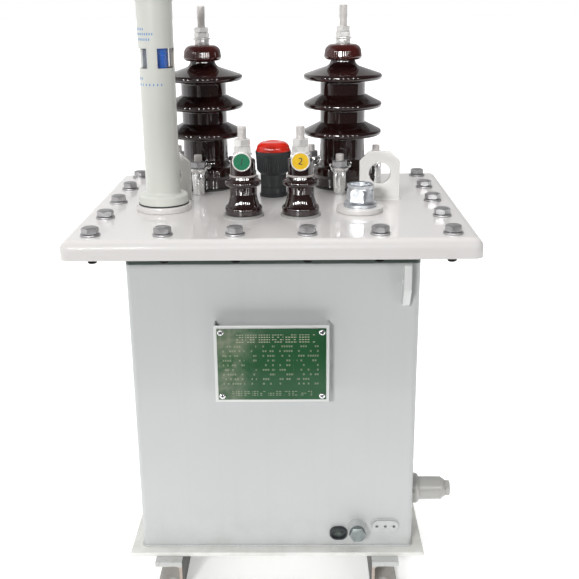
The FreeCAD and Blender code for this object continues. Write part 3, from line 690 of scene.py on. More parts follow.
def growthTree(name, *sockets):
    group = bpy.data.node_groups.new(name, "GeometryNodeTree")
    group.interface.new_socket("Geometry", in_out="OUTPUT", socket_type="NodeSocketGeometry")
    group.interface.new_socket("Geometry", in_out="INPUT", socket_type="NodeSocketGeometry")
    for label, kind in sockets:
        group.interface.new_socket(label, in_out="INPUT", socket_type="NodeSocket" + kind)
    tree = Tree(group)
    entry = group.nodes.new("NodeGroupInput")
    tree.given = {s.name: Value(tree, s) for s in entry.outputs if s.name}
    return tree


def closeTree(tree, shape):
    real = tree.node("GeometryNodeRealizeInstances", {}, [shape])
    smooth = tree.node("GeometryNodeSetShadeSmooth", {}, {"Geometry": real})
    painted = tree.node("GeometryNodeSetMaterial", {},
                        {"Geometry": smooth, "Material": tree.given["Material"]})
    end = tree.nodeTree.nodes.new("NodeGroupOutput")
    tree.put(end.inputs[0], painted)
    return tree.nodeTree


def randomTurn(tree):
    # an angle from minus to plus "Turn"; the node's second pair of limits is the one for plain numbers
    turn = tree.node("FunctionNodeRandomValue", {"data_type": "FLOAT"})
    limits = turn.socket.node.inputs
    tree.put(limits[2], tree.given["Turn"] * -1)
    tree.put(limits[3], tree.given["Turn"])
    tree.put(limits["Seed"], tree.given["Seed"])
    return turn


def copiesOn(tree, points, angle):
    # the prototype on each point, turned about its own axis
    spin = tree.node("ShaderNodeCombineXYZ", {}, {"Z": angle})
    proto = tree.node("GeometryNodeObjectInfo", {}, {"Object": tree.given["Prototype"]}).out("Geometry")
    return tree.node("GeometryNodeInstanceOnPoints", {}, {"Points": points, "Instance": proto,
                                                          "Rotation": spin})


def grown(name, group, values, start=None, sharp=32):
    # runs a tree, keeps its result as a plain mesh and drops the modifier
    mesh = start or bpy.data.meshes.new(name + "Start")
    piece = bpy.data.objects.new(name, mesh)
    bpy.context.collection.objects.link(piece)
    step = piece.modifiers.new("grow", "NODES")
    step.node_group = group
    for item in group.interface.items_tree:
        if item.item_type == "SOCKET" and item.in_out == "INPUT" and item.name in values:
            step[item.identifier] = values[item.name]
    bpy.context.view_layer.update()
    graph = bpy.context.evaluated_depsgraph_get()
    result = bpy.data.meshes.new_from_object(piece.evaluated_get(graph), depsgraph=graph)
    piece.modifiers.remove(step)
    piece.data = result
    shaded(result, sharp)
    return piece


def repeated(proto, name, key, slot, group, values, start=None, replaced=()):
    # one piece from many copies of the prototype, which is then thrown away
    piece = grown(name, group, {"Prototype": proto, "Material": finish[key], **values}, start)
    bpy.data.objects.remove(proto)
    return settled(piece, slot, *replaced)


def pointsMesh(name, places):
    # one point for each (x, y, z, turn in degrees), in millimetres
    mesh = bpy.data.meshes.new(name)
    mesh.from_pydata([Vector(p[:3]) * mm for p in places], [], [])
    turn = mesh.attributes.new("turn", "FLOAT", "POINT")
    turn.data.foreach_set("value", [math.radians(p[3]) for p in places])
    return mesh


def gridTree():
    # prototype copies on the rim of a grid, each turned at random about its own axis
    tree = growthTree("gridOfFasteners", ("Prototype", "Object"), ("Width", "Float"), ("Depth", "Float"),
                      ("Along Width", "Int"), ("Along Depth", "Int"), ("Turn", "Float"), ("Seed", "Int"),
                      ("Tilt", "Vector"), ("Place", "Vector"), ("Material", "Material"))
    given = tree.given
    grid = tree.node("GeometryNodeMeshGrid", {}, {"Size X": given["Width"], "Size Y": given["Depth"],
                                                  "Vertices X": given["Along Width"],
                                                  "Vertices Y": given["Along Depth"]})
    where = tree.node("ShaderNodeSeparateXYZ", {}, [tree.node("GeometryNodeInputPosition")])
    insideX = where.out("X").math("ABSOLUTE") < given["Width"] * 0.49
    insideY = where.out("Y").math("ABSOLUTE") < given["Depth"] * 0.49
    rim = tree.node("GeometryNodeDeleteGeometry", {"domain": "POINT"}, {"Geometry": grid,
                                                                        "Selection": insideX * insideY})
    copies = copiesOn(tree, rim, randomTurn(tree))
    laid = tree.node("GeometryNodeTransform", {}, {"Geometry": copies, "Rotation": given["Tilt"],
                                                   "Translation": given["Place"]})
    return closeTree(tree, laid)


def spotTree():
    # prototype copies on given points, turned by each point's own "turn"
    tree = growthTree("fastenersAtSpots", ("Prototype", "Object"), ("Turn", "Float"), ("Seed", "Int"),
                      ("Material", "Material"))
    own = tree.node("GeometryNodeInputNamedAttribute", {"data_type": "FLOAT"}, {"Name": "turn"})
    return closeTree(tree, copiesOn(tree, tree.given["Geometry"], own + randomTurn(tree)))


def beadTree():
    # a weld bead: the path resampled, its round section swelling with every stroke
    tree = growthTree("weldBead", ("Radius", "Float"), ("Step", "Float"), ("Ripple", "Float"),
                      ("Material", "Material"))
    given = tree.given
    path = tree.node("GeometryNodeMeshToCurve", {}, {"Mesh": given["Geometry"]})
    even = tree.node("GeometryNodeResampleCurve", {"mode": "LENGTH"},
                     {"Curve": path, "Length": given["Step"]})
    place = tree.node("GeometryNodeInputPosition")
    drift = tree.node("ShaderNodeTexNoise", {}, {"Vector": place, "Scale": 60.0, "Detail": 3.0})
    beat = tree.node("GeometryNodeInputIndex").math("MODULO", 4.0) / 3.0
    swell = 1.0 + (drift - 0.5) * given["Ripple"] + (beat - 0.5) * given["Ripple"] * 0.35
    section = tree.node("GeometryNodeCurvePrimitiveCircle", {}, {"Resolution": 8, "Radius": given["Radius"]})
    bead = tree.node("GeometryNodeCurveToMesh", {}, {"Curve": even, "Profile Curve": section, "Scale": swell,
                                                     "Fill Caps": True})
    return closeTree(tree, bead)


def ladderTree():
    # prototype copies in a line, such as ribs turned round an axis or ticks round a scale
    tree = growthTree("ladder", ("Prototype", "Object"), ("Count", "Int"), ("Rise", "Float"),
                      ("Turn", "Float"), ("Place", "Vector"), ("Material", "Material"))
    given = tree.given
    rise = tree.node("ShaderNodeCombineXYZ", {}, {"Z": given["Rise"]})
    line = tree.node("GeometryNodeMeshLine", {}, {"Count": given["Count"], "Offset": rise})
    copies = copiesOn(tree, line, tree.node("GeometryNodeInputIndex") * given["Turn"])
    laid = tree.node("GeometryNodeTransform", {}, {"Geometry": copies, "Translation": given["Place"]})
    return closeTree(tree, laid)


onGrid = gridTree()
onSpots = spotTree()
onPath = beadTree()
onLadder = ladderTree()
print("growth trees ready")


def both(*stems):
    return [stem + "_" + side for stem in stems for side in ("left", "right")]


# the finish of each frame piece, also where a finer piece takes its place
finishOf = {"tank": ["tank_front_shell", "tank_back_shell", "tank_flange", "tank_hooks", "drain_boss",
                     "oval_plate"],
            "pipe": ["outlet_pipe", "outlet_plug"],
            "base": ["base_plate"],
            "cover": ["cover", "gauge_seat", "filler_pad"],
            "lug": both("lifting_lug"),
            "foot": both("base_foot"),
            "gauge": ["gauge_cap"],
            "gaugeTube": ["gauge_tube"],
            "bracket": ["nameplate_bracket"],
            "brown": both("hv_bushing", "lv_bushing", "lv_cap"),
            "redBrown": both("hv_cap"),
            "alloy": both("hv_clamps"),
            "brightZinc": both("hv_terminal", "lv_terminal", "phase_tag"),
            "spangle": ["filler_plug", "drain_plug"],
            "blackRubber": ["cover_gasket", "hv_gaskets", "gauge_gasket"],
            "greyRubber": ["lv_gaskets"],
            "black": ["tap_changer_body", "earth_terminal_cap"],
            "red": ["tap_changer_cap"],
            "blue": ["gauge_float"],
            "glass": ["gauge_glass"],
            "plate": ["nameplate"]}
for key, names in finishOf.items():
    for name in names:
        for place in nodes[name].material_slots:
            place.material = finish[key]
print("frame pieces finished")


coverBolts = {"endInset": 33.5, "sideInset": 30.0, "along": 6, "across": 5, "washer": 12.2,
              "washerHeight": 2.4, "flats": 19.0, "head": 8.0, "nut": 10.0, "tail": 4.8, "shank": 6.0,
              "lowWasherHeight": 2.0, "seam": 0.3, "turn": math.pi, "seed": 41}
# radius and height over the head's top: a hollow with a pressed ring round it
boltCrown = [(0, -0.6), (5.6, -0.6), (6.4, 0), (7.2, 0.25), (7.4, 0)]


def boltPrototypes():
    # the origin lies on the cover's top
    sizes = coverBolts
    head, under, tail = Shape(), Shape(), Shape()
    high = sizes["washerHeight"]
    top = high + sizes["head"]
    head.washer(sizes["washer"], 0, high, 0.4, 0.7, 32)
    head.hexNut(sizes["flats"], high + sizes["seam"], top, steps=6, ends=0.93)
    head.lathe(raised(boltCrown, top), 24)
    low = cornersOf("tank_flange")[0].z - cornersOf("cover")[1].z
    nutTop = low - sizes["lowWasherHeight"]
    end = nutTop - sizes["nut"]
    under.washer(sizes["washer"], nutTop, low, 0.6, 0.4, 32)
    under.hexNut(sizes["flats"], end, nutTop - 0.2, steps=6)
    tail.at = moved(0, 0, 2 * end) @ turned(180, "X")
    tail.thread(sizes["shank"], end, end + sizes["tail"], sides=16)
    return head.piece("boltHead", "zinc"), under.piece("boltNut", "zinc"), tail.piece("boltTail", "darkSteel")


def addCoverBolts():
    sizes = coverBolts
    low, high, middle = extentOf("cover")
    grid = {"Width": (high.x - low.x - 2 * sizes["endInset"]) * mm,
            "Depth": (high.y - low.y - 2 * sizes["sideInset"]) * mm,
            "Along Width": sizes["along"], "Along Depth": sizes["across"], "Turn": sizes["turn"],
            "Seed": sizes["seed"], "Place": (middle.x * mm, middle.y * mm, high.z * mm)}
    # the nuts and ends under the rim take near-black steel that is partly painted shade
    kinds = (("cover_bolt_heads", "zinc"), ("cover_bolt_nuts", "oilBlack"), ("cover_bolt_tails", "oilBlack"))
    for proto, (name, key) in zip(boltPrototypes(), kinds):
        repeated(proto, name, key, "plated_steel", onGrid, grid)


addCoverBolts()
print("cover bolts placed")


terminal = {"flats": 19.0, "stud": 6.0, "bore": 5.6, "pitch": 1.75, "collar": 10.5, "washer": 12.5,
            "washerHeight": 2.5, "turns": (8.0, 25.0)}
terminalKinds = {"hv": {"collar": 7.0, "nut": 7.5, "free": 29.0},
                 "lv": {"collar": 3.5, "nut": 9.0, "free": 16.0}}


def addTerminal(kind, side):
    node = kind + "_terminal_" + side
    low, _, middle = extentOf(node)
    sizes = terminalKinds[kind]
    shape = Shape(moved(middle.x, middle.y, low.z))
    z = sizes["collar"]
    edge = z + terminal["washerHeight"]
    shape.washer(terminal["collar"], 0, z, 0.5, 0.8)
    shape.washer(terminal["washer"], z, edge, 0.5, 0.7)
    z = edge
    for turn in terminal["turns"]:
        shape.hexNut(terminal["flats"], z + 0.12, z + sizes["nut"], turn, terminal["bore"])
        z += sizes["nut"]
    shape.thread(terminal["stud"], z - 1, z + sizes["free"], terminal["pitch"], sides=24, tone=1)
    piece = shape.piece(node.replace("terminal", "stud_and_nuts"), "brightZinc", "paleStud")
    settled(piece, "plated_steel", node)


for kind in ("hv", "lv"):
    for side in ("left", "right"):
        addTerminal(kind, side)
print("terminals turned")


tagSizes = {"radius": 12.3, "thickness": 1.2, "rim": 1.5, "strap": 9.0, "washer": 12.5, "gap": 2.5,
            "cap": 16.5, "drop": 1.5, "figure": 9.5, "figureProud": 0.12}
# side, finish, numeral and lean of the disc
tags = (("left", "green", "1", -14), ("right", "yellow", "2", -8))


def figureMesh(body, height):
    # a plain numeral as a thin flat mesh facing the front, centred on the origin
    curve = bpy.data.curves.new("figure", "FONT")
    curve.body = body
    curve.size = height * 1.35
    curve.align_x = "CENTER"
    curve.align_y = "CENTER"
    curve.extrude = tagSizes["figureProud"]
    holder = bpy.data.objects.new("figure", curve)
    bpy.context.collection.objects.link(holder)
    bpy.context.view_layer.update()
    mesh = bpy.data.meshes.new_from_object(holder.evaluated_get(bpy.context.evaluated_depsgraph_get()))
    bpy.data.objects.remove(holder)
    return [v.co.copy() for v in mesh.vertices], [tuple(p.vertices) for p in mesh.polygons]


def addTag(side, key, figure, lean):
    node = "phase_tag_" + side
    low, high, middle = extentOf(node)
    sizes = tagSizes
    radius, t = sizes["radius"], sizes["thickness"]
    shape = Shape(moved(middle.x, high.y - sizes["washer"], middle.z + sizes["drop"]))
    shape.washer(sizes["washer"], 0, t, 0.3, 0.4)
    # the strap runs forward and is bent down behind the disc
    front = -sizes["cap"] - sizes["gap"] - t / 2
    strap = [(0, -9, t / 2), (0, front + 3.0, t / 2), (0, front + 1.3, t * 0.1), (0, front + 0.75, -1.6),
             (0, front + 0.75, -3.4)]
    shape.bar(strap, [sizes["strap"]] * 5, [t, t, t, t * 0.8, t * 0.8], rounding=0.35)
    # the disc: a pressed rim round a slightly sunk enamel face
    shape.at = moved(middle.x, low.y + t, middle.z) @ turned(90, "X") @ turned(lean)
    inner = radius - sizes["rim"]
    sunk = (inner - 0.3, t - 0.35)
    shape.lathe(eased([(0, 0), (radius, 0, 0.3), (radius, t, 0.5), (inner, t, 0.3), sunk], 3), 64)
    shape.lathe([sunk, (inner * 0.6, t - 0.25), (0, t - 0.2)], 64, tone=1)
    points, faces = figureMesh(figure, sizes["figure"])
    start = len(shape.points)
    shape.points += [shape.at @ Vector((p.x, p.y, p.z + t - 0.1)) for p in points]
    shape.faces += [tuple(start + i for i in face) for face in faces]
    shape.tones += [2] * len(faces)
    settled(shape.piece("enamel_tag_" + side, "brightZinc", key, "ink"), "plated_steel", node)


for values in tags:
    addTag(*values)
print("tags hung")


clampSizes = {"angles": (-96.0, 24.0, 144.0), "reach": 57.0, "high": 39.3, "foot": 8.2, "head": 11.0,
              "taper": 1.3, "sides": 48, "lobes": 6, "spread": 38.0, "nut": 9.0, "flats": 19.0,
              "stud": 6.0, "bore": 5.6, "free": 9.5, "turn": 0.5, "seed": 5}
# height, share of the radius, depth of the hollows between the lobes
clampPost = ((0, 0.97, 0.0), (0.8, 1.05, 0.02), (6, 1.06, 0.10), (18, 1.04, 0.12), (25, 1.02, 0.12),
             (28, 0.98, 0.16), (30.5, 0.96, 0.32), (32.5, 1.02, 0.34), (34.0, 1.14, 0.05),
             (34.9, 1.20, 0.0), (38.3, 1.22, 0.0), (39.0, 1.18, 0.0), (39.3, 1.10, 0.0))
# distance out, height, width and thickness along each of the two fingers, and along the web under each
clampFinger = ((3, 36.6, 10, 5.4), (9, 37.2, 8.6, 4.8), (13, 37.8, 8.2, 5.8), (16, 38.1, 9.2, 7.2),
               (18.6, 38.1, 9.6, 7.4), (20.4, 38.0, 8.0, 6.2), (21.3, 38.0, 4.0, 3.4))
clampWeb = ((4, 25, 5.4, 9), (8.5, 30, 4.6, 6), (13.5, 35.4, 4.0, 2.4))


def clampCasting():
    sizes = clampSizes
    shape = Shape()
    high, sides = sizes["high"], sizes["sides"]
    loops = [shape.circle(0, 0, sides)]
    for z, bulge, hollow in clampPost:
        radius = (sizes["foot"] + (sizes["head"] - sizes["foot"]) * (z / high) ** sizes["taper"]) * bulge
        ring = []
        for s in range(sides):
            a = math.tau * s / sides
            out = radius * (1 - hollow * (0.5 - 0.5 * math.cos(sizes["lobes"] * a)))
            ring.append((out * math.cos(a), out * math.sin(a), z))
        loops.append(shape.loop(ring))
    loops.append(shape.circle(0, high, sides))
    shape.chain(loops)
    for spread in (-sizes["spread"], sizes["spread"]):
        for stations, corner, steps in ((clampFinger, 0.46, 4), (clampWeb, 0.4, 3)):
            path = [turned(spread) @ Vector((out, 0, z)) for out, z, _, _ in stations]
            shape.bar(path, [s[2] for s in stations], [s[3] for s in stations], rounding=corner, steps=steps)
    return shape.piece("clampCasting", "alloy")


def clampHardware():
    sizes = clampSizes
    nut, stud = Shape(), Shape()
    high = sizes["high"]
    top = high + sizes["nut"]
    nut.hexNut(sizes["flats"], high + 0.1, top, bore=sizes["bore"], ends=0.93)
    stud.thread(sizes["stud"], top - 1, top + sizes["free"], sides=20)
    return nut.piece("clampNut", "zinc"), stud.piece("clampStud", "paleStud")


def addClamps():
    sizes = clampSizes
    level = cornersOf("cover")[1].z
    spots = []
    for node in both("hv_bushing"):
        middle = extentOf(node)[2]
        for angle in sizes["angles"]:
            a = math.radians(angle)
            spots.append((middle.x + sizes["reach"] * math.cos(a), middle.y + sizes["reach"] * math.sin(a),
                          level, angle + 180))
    nut, stud = clampHardware()
    kinds = ((clampCasting(), "clamp_castings", "alloy", "cast_zinc", 0.0, both("hv_clamps")),
             (nut, "clamp_nuts", "zinc", "plated_steel", sizes["turn"], ()),
             (stud, "clamp_studs", "paleStud", "plated_steel", 0.0, ()))
    for proto, name, key, slot, turn, replaced in kinds:
        repeated(proto, name, key, slot, onSpots, {"Turn": turn, "Seed": sizes["seed"]},
                 pointsMesh(name + "Spots", spots), replaced)


addClamps()
print("clamps cast")


tapSizes = {"ribs": 44, "ribHeight": 22.0, "ribFoot": 37.0, "ribRadius": 23.15, "ribWidth": 1.3,
            "ribDepth": 1.6, "domeSteps": 9, "domeFoot": 2.6, "dimple": 11.2}
# radius, height and corner radius of the barrel; the last entries hang from its top
tapBarrel = [(0, 0), (20.0, 0, 0.5), (20.0, 3, 0.8), (18.6, 4.6, 0.6), (18.5, 13.5, 0.3), (17.9, 14.0, 0.2),
             (17.9, 14.8, 0.2), (18.5, 15.3, 0.3), (18.5, 31.6, 0.8), (20.6, 33.5, 0.8), (22.5, 35.5, 1.2),
             (22.9, 37.2, 0.3)]
tapBrim = [(24.4, -6.5, 0.4), (25.3, -5.4, 0.5), (25.5, 0, 0.5), (0, 0)]
# radius and depth of the dimple under the top of the dome
tapDimple = [(11.2, 0), (9.4, -0.2), (8.2, -0.9), (6.8, -1.2), (0, -1.3)]


def addTapChanger():
    low, high, middle = extentOf("tap_changer_body")
    sizes = tapSizes
    barrel = Shape(moved(middle.x, middle.y, low.z))
    barrel.lathe(eased(tapBarrel + raised(tapBrim, high.z - low.z), 3), 96)
    settled(barrel.piece("tap_changer_barrel", "black"), "black_moulding", "tap_changer_body")
    rib = Shape()
    reach, tall = sizes["ribRadius"], sizes["ribHeight"]
    path = [(reach - 0.5, 0, 0), (reach - 0.15, 0, 2), (reach + 0.4, 0, tall * 0.55), (reach + 0.95, 0, tall)]
    rib.bar(path, [sizes["ribWidth"]] * 4, [sizes["ribDepth"]] * 4, rounding=0.4, steps=2)
    repeated(rib.piece("rib", "black"), "tap_changer_ribs", "black", "black_moulding", onLadder,
             {"Count": sizes["ribs"], "Rise": 0.0, "Turn": math.tau / sizes["ribs"],
              "Place": (middle.x * mm, middle.y * mm, (low.z + sizes["ribFoot"]) * mm)})
    low, high = cornersOf("tap_changer_cap")
    rise = high.z - low.z
    edge = (high.x - low.x) / 2
    foot = sizes["domeFoot"]
    outline = [(0, 0), (edge, 0, 0.4), (edge, 1.8, 0.6), (edge - 0.9, foot)]
    for k in range(1, sizes["domeSteps"]):
        a = math.radians(90 * k / sizes["domeSteps"])
        shoulder = (edge - 0.9 - sizes["dimple"]) * math.cos(a) ** 0.9
        outline.append((sizes["dimple"] + shoulder, foot + (rise - foot) * math.sin(a)))
    dome = Shape(moved(middle.x, middle.y, low.z))
    dome.lathe(eased(outline + raised(tapDimple, rise), 3), 96)
    settled(dome.piece("tap_changer_dome", "red", sharp=50), "red_moulding", "tap_changer_cap")


addTapChanger()
print("tap changer ribbed")


fillerSizes = {"turn": -20.0, "sides": 96, "hexagon": 0.885}
# radius, height and share of the hexagon, from the foot up, then from the top down into the recess
fillerFoot = [(0, 0, 0), (21.4, 0, 0), (22.3, 0.8, 0), (22.5, 2.2, 0), (22.4, 4.2, 0), (21.6, 5.4, 0),
              (20.4, 6.2, 0), (19.4, 6.9, 0.3), (18.9, 7.6, 1), (18.7, 8.4, 1), (18.5, 21.4, 1),
              (17.6, 22.4, 0.6), (16.8, 23.2, 0.1), (16.5, 24.0, 0)]
fillerTop = [(16.5, -4.6, 0), (17.2, -3.2, 0), (17.7, -0.9, 0), (16.9, 0, 0), (14.6, -0.1, 0),
             (13.6, -0.8, 0), (13.3, -6.0, 0), (12.4, -7.0, 0), (0, -7.0, 0)]


def addFiller():
    low, high, middle = extentOf("filler_plug")
    sizes = fillerSizes
    sides = sizes["sides"]
    shape = Shape(moved(middle.x, middle.y, low.z) @ turned(sizes["turn"]))
    loops = []
    for radius, z, share in fillerFoot + raised(fillerTop, high.z - low.z):
        if not radius:
            loops.append(shape.circle(0, z, sides))
            continue
        ring = []
        for s in range(sides):
            a = 360 * s / sides
            flat = min(hexReach(a, radius * sizes["hexagon"]), radius)
            reach = radius + (flat - radius) * share
            ring.append((reach * math.cos(math.radians(a)), reach * math.sin(math.radians(a)), z))
        loops.append(shape.loop(ring))
    shape.chain(loops)
    settled(shape.piece("filler_plug_turned", "spangle", sharp=24), "galvanised", "filler_plug")


def facingFront(place, turn=0.0):
    # the local Z axis points out of the tank's front wall
    return Matrix.Translation(place) @ turned(90, "X") @ turned(turn)


drainSizes = {"flats": 19.6, "washer": 10.9, "washerHeight": 1.5, "turn": 3.0}
# radius and height of the crown, from the plug's outer end
drainCrown = [(0, -1.2), (8.4, -0.7), (7.2, -0.1, 0.5), (6.2, -0.5, 0.4), (4.4, -0.6, 0.5), (0, -0.2)]


def addDrainPlug():
    low, high, middle = extentOf("drain_plug")
    sizes = drainSizes
    shape = Shape(facingFront((middle.x, high.y, middle.z), sizes["turn"]))
    reach = high.y - low.y
    radius, top = sizes["washer"], sizes["washerHeight"]
    washer = [(0, 0), (radius - 0.4, 0), (radius, 0.6, 0.3), (radius, top - 0.1, 0.4), (0, top)]
    shape.lathe(eased(washer, 3), 48)
    shape.hexNut(sizes["flats"], top + 0.1, reach - 0.5, ends=0.93)
    shape.lathe(eased(raised(drainCrown, reach), 3), 40)
    settled(shape.piece("drain_plug_head", "dullPlug"), "galvanised", "drain_plug")


earthSizes = {"aside": -1.2, "shorter": 2.4, "wall": 2.6, "sunk": 3.6, "turn": 6}
# radius and height of the screw, then distance, height, width and thickness of a wire of the cross
earthScrew = [(0, -0.5), (5.6, -0.5, 0.2), (5.6, 0.5, 0.3), (4.0, 0.7), (3.9, 1.7, 0.7), (0, 2.1)]
earthWire = ((-6.6, 0.6, 1.4, 1.2), (-3.4, 1.5, 1.9, 1.3), (0, 2.0, 2.1, 1.4), (3.4, 1.5, 1.9, 1.3),
             (6.6, 0.6, 1.4, 1.2))


def addEarthCap():
    low, high, middle = extentOf("earth_terminal_cap")
    sizes = earthSizes
    length, tall, deep = high.x - low.x - sizes["shorter"], high.z - low.z, high.y - low.y
    place = (middle.x + sizes["aside"], high.y, middle.z)
    wall = sizes["wall"]
    floor = deep - sizes["sunk"]
    shape = Shape(facingFront(place))
    loops = [shape.loop([(0, 0, 0)])]
    for grow, z in ((0, 0), (0, deep - 1.2), (-0.5, deep - 0.3), (-1.4, deep), (-wall + 0.5, deep),
                    (-wall, deep - 0.5), (-wall - 0.4, floor)):
        loops.append(shape.loop([(x, y, z) for x, y in stadium(length + 2 * grow, tall + 2 * grow)]))
    loops.append(shape.loop([(0, 0, floor)]))
    shape.chain(loops)
    settled(shape.piece("earth_terminal_shroud", "black", sharp=40), "black_moulding", "earth_terminal_cap")
    # the earth screw: a washer, a low round head and a raised cross of wire
    screw = Shape(facingFront(place, sizes["turn"]))
    screw.lathe(eased(raised(earthScrew, floor), 3), 32)
    for turn in (0, 90):
        path = [turned(turn) @ Vector((out, 0, floor + z)) for out, z, _, _ in earthWire]
        screw.bar(path, [s[2] for s in earthWire], [s[3] for s in earthWire], rounding=0.35)
    settled(screw.piece("earth_terminal_screw", "dimScrew"), "galvanised")


outletSizes = {"flats": 20.6, "turn": 4}
# radius and height of the crown, from the plug's outer end
outletCrown = [(0, -0.8), (7.4, -0.3), (6.4, -0.05, 0.4), (5.2, -0.5, 0.3), (0, -0.5)]


def addOutletPlug():
    low, high, middle = extentOf("outlet_plug")
    shape = Shape(moved(low.x, middle.y, middle.z) @ turned(90, "Y") @ turned(outletSizes["turn"]))
    reach = high.x - low.x
    shape.hexNut(outletSizes["flats"], 0, reach, ends=0.94)
    shape.lathe(eased(raised(outletCrown, reach), 3), 32)
    settled(shape.piece("outlet_plug_head", "pipe"), "tank_grey", "outlet_plug")


addFiller()
addDrainPlug()
addEarthCap()
addOutletPlug()
print("plugs and earth terminal made")


# piece, finish, slot, the frame pieces it stands for, rounding of the edges
plates = (("base_plate_sheet", "base", "tank_grey", ["base_plate"], 0.9),
          ("foot_channels", "foot", "tank_grey", both("base_foot"), 1.2),
          ("flange_ring", "tank", "tank_grey", ["tank_flange"], 0.8),
          ("nameplate_stand", "bracket", "bracket_grey", ["nameplate_bracket"], 0.7),
          ("nameplate_sheet", "plate", "plate_green", ["nameplate"], 0.35),
          ("lifting_lugs", "lug", "cover_grey", both("lifting_lug"), 0.9),
          ("hook_plates", "bracket", "tank_grey", ["tank_hooks"], 0.8),
          ("oval_plate_edge", "tank", "tank_grey", ["oval_plate"], 0.6),
          ("gauge_seat_ring", "cover", "cover_grey", ["gauge_seat"], 1.0),
          ("filler_pad_ring", "cover", "cover_grey", ["filler_pad"], 1.0))
for values in plates:
    softened(*values)
print("plate edges rounded")


plateScrews = {"inset": 5.2, "radius": 4.0, "rise": 1.9, "turn": 0.9, "seed": 12}


def screwPrototypes():
    head, cross = Shape(), Shape()
    radius, rise = plateScrews["radius"], plateScrews["rise"]
    head.lathe(eased([(0, -0.4), (radius, -0.4, 0.2), (radius, rise * 0.35, 0.5),
                      (radius * 0.72, rise * 0.9, 0.8), (1.4, rise), (0, rise)], 4), 40)
    for turn in (0, 90):
        path = [turned(turn) @ Vector((x, 0, rise - 0.24)) for x in (-2.5, -1, 1, 2.5)]
        cross.bar(path, [0.7, 1.2, 1.2, 0.7], [0.6] * 4)
    return head.piece("screwHead", "chrome"), cross.piece("screwCross", "ink")


def addPlateScrews():
    low, high, middle = extentOf("nameplate")
    sizes = plateScrews
    grid = {"Width": (high.x - low.x - 2 * sizes["inset"]) * mm,
            "Depth": (high.z - low.z - 2 * sizes["inset"]) * mm, "Along Width": 2, "Along Depth": 2,
            "Turn": sizes["turn"], "Seed": sizes["seed"], "Tilt": (math.pi / 2, 0, 0),
            "Place": (middle.x * mm, low.y * mm, middle.z * mm)}
    head, cross = screwPrototypes()
    repeated(head, "nameplate_screws", "chrome", "plated_steel", onGrid, grid)
    repeated(cross, "nameplate_screw_slots", "ink", "plated_steel", onGrid, grid)


addPlateScrews()
print("nameplate screwed down")


gaugeScale = {"width": 1.5, "height": 2.8, "proud": 0.12, "capOverhang": 0.8}
# rows of short ticks round the tube: height over the cover, first angle, count, step in degrees
gaugeRows = ((236.3, -161, 5, 9.0), (230.2, -160, 9, 8.5), (223.6, -154, 7, 8.5), (175.0, -160, 3, 11.0),
             (167.2, -160, 8, 13.0))
floatSizes = {"aside": 1.1, "radius": 13.9, "footCorner": 1.2, "topCorner": 2.5}
# radius, height and corner radius of the pale ring under each low-voltage cap
sealRing = [(0, -0.6), (17.4, -0.6), (17.9, 0.5, 0.5), (17.4, 1.8, 0.4), (0, 1.9)]


def addGaugeScale():
    low, high, middle = extentOf("gauge_cap")
    cover = cornersOf("cover")[1].z
    radius = (high.x - low.x) / 2 - gaugeScale["capOverhang"]
    half = gaugeScale["width"] / 2
    tick = Shape()
    tick.bar([(radius, -half, 0), (radius, 0, 0), (radius, half, 0)], [2 * gaugeScale["proud"]] * 3,
             [gaugeScale["height"]] * 3, steps=1)
    proto = tick.piece("tick", "scaleInk")
    for row, (level, start, count, step) in enumerate(gaugeRows):
        proto.data.transform(turned(start))
        piece = grown("gauge_scale_" + str(row), onLadder,
                      {"Prototype": proto, "Count": count, "Rise": 0.0, "Turn": math.radians(step),
                       "Place": (middle.x * mm, middle.y * mm, (cover + level) * mm),
                       "Material": finish["scaleInk"]})
        settled(piece, "blue_float")
        proto.data.transform(turned(start).inverted())
    bpy.data.objects.remove(proto)


def addFloat():
    low, high, middle = extentOf("gauge_float")
    radius, tall = floatSizes["radius"], high.z - low.z
    body = Shape(moved(middle.x + floatSizes["aside"], middle.y, low.z))
    body.lathe(eased([(0, 0), (radius, 0, floatSizes["footCorner"]), (radius, tall * 0.5),
                      (radius, tall, floatSizes["topCorner"]), (0, tall)], 4), 64)
    settled(body.piece("gauge_float_body", "blue"), "blue_float", "gauge_float")


def addSealRings():
    for side in ("left", "right"):
        low, _, middle = extentOf("lv_cap_" + side)
        ring = Shape(moved(middle.x, middle.y, low.z))
        ring.lathe(eased(sealRing, 3), 64)
        settled(ring.piece("lv_seal_ring_" + side, "paleRubber"), "grey_rubber")


addGaugeScale()
addFloat()
addSealRings()
print("gauge scale and seal rings made")


# thickness of each kind of bead, then the length and unevenness of a stroke
beads = {"wall": 2.4, "seam": 2.0, "fitting": 1.2, "lug": 1.8, "stand": 1.6, "step": 1.6, "ripple": 0.55,
         "tankCorner": 7, "lugCorner": 1.0}


def roundedLoop(low, high, radius, z, steps=5):
    points = []
    corners = ((high.x - radius, high.y - radius, 0), (low.x + radius, high.y - radius, 90),
               (low.x + radius, low.y + radius, 180), (high.x - radius, low.y + radius, 270))
    for x, y, start in corners:
        for k in range(steps + 1):
            a = math.radians(start + 90 * k / steps)
            points.append(Vector((x + radius * math.cos(a), y + radius * math.sin(a), z)))
    return points


def ringLoop(matrix, radius, count=40):
    turns = [math.tau * k / count for k in range(count)]
    return [matrix @ Vector((radius * math.cos(a), radius * math.sin(a), 0)) for a in turns]


def pathsMesh(name, loops, lines=()):
    points, edges = [], []
    for run, closed in [(loop, True) for loop in loops] + [(line, False) for line in lines]:
        start = len(points)
        points += [Vector(p) * mm for p in run]
        edges += [(start + k, start + k + 1) for k in range(len(run) - 1)]
        if closed:
            edges.append((start + len(run) - 1, start))
    mesh = bpy.data.meshes.new(name)
    mesh.from_pydata(points, edges, [])
    return mesh


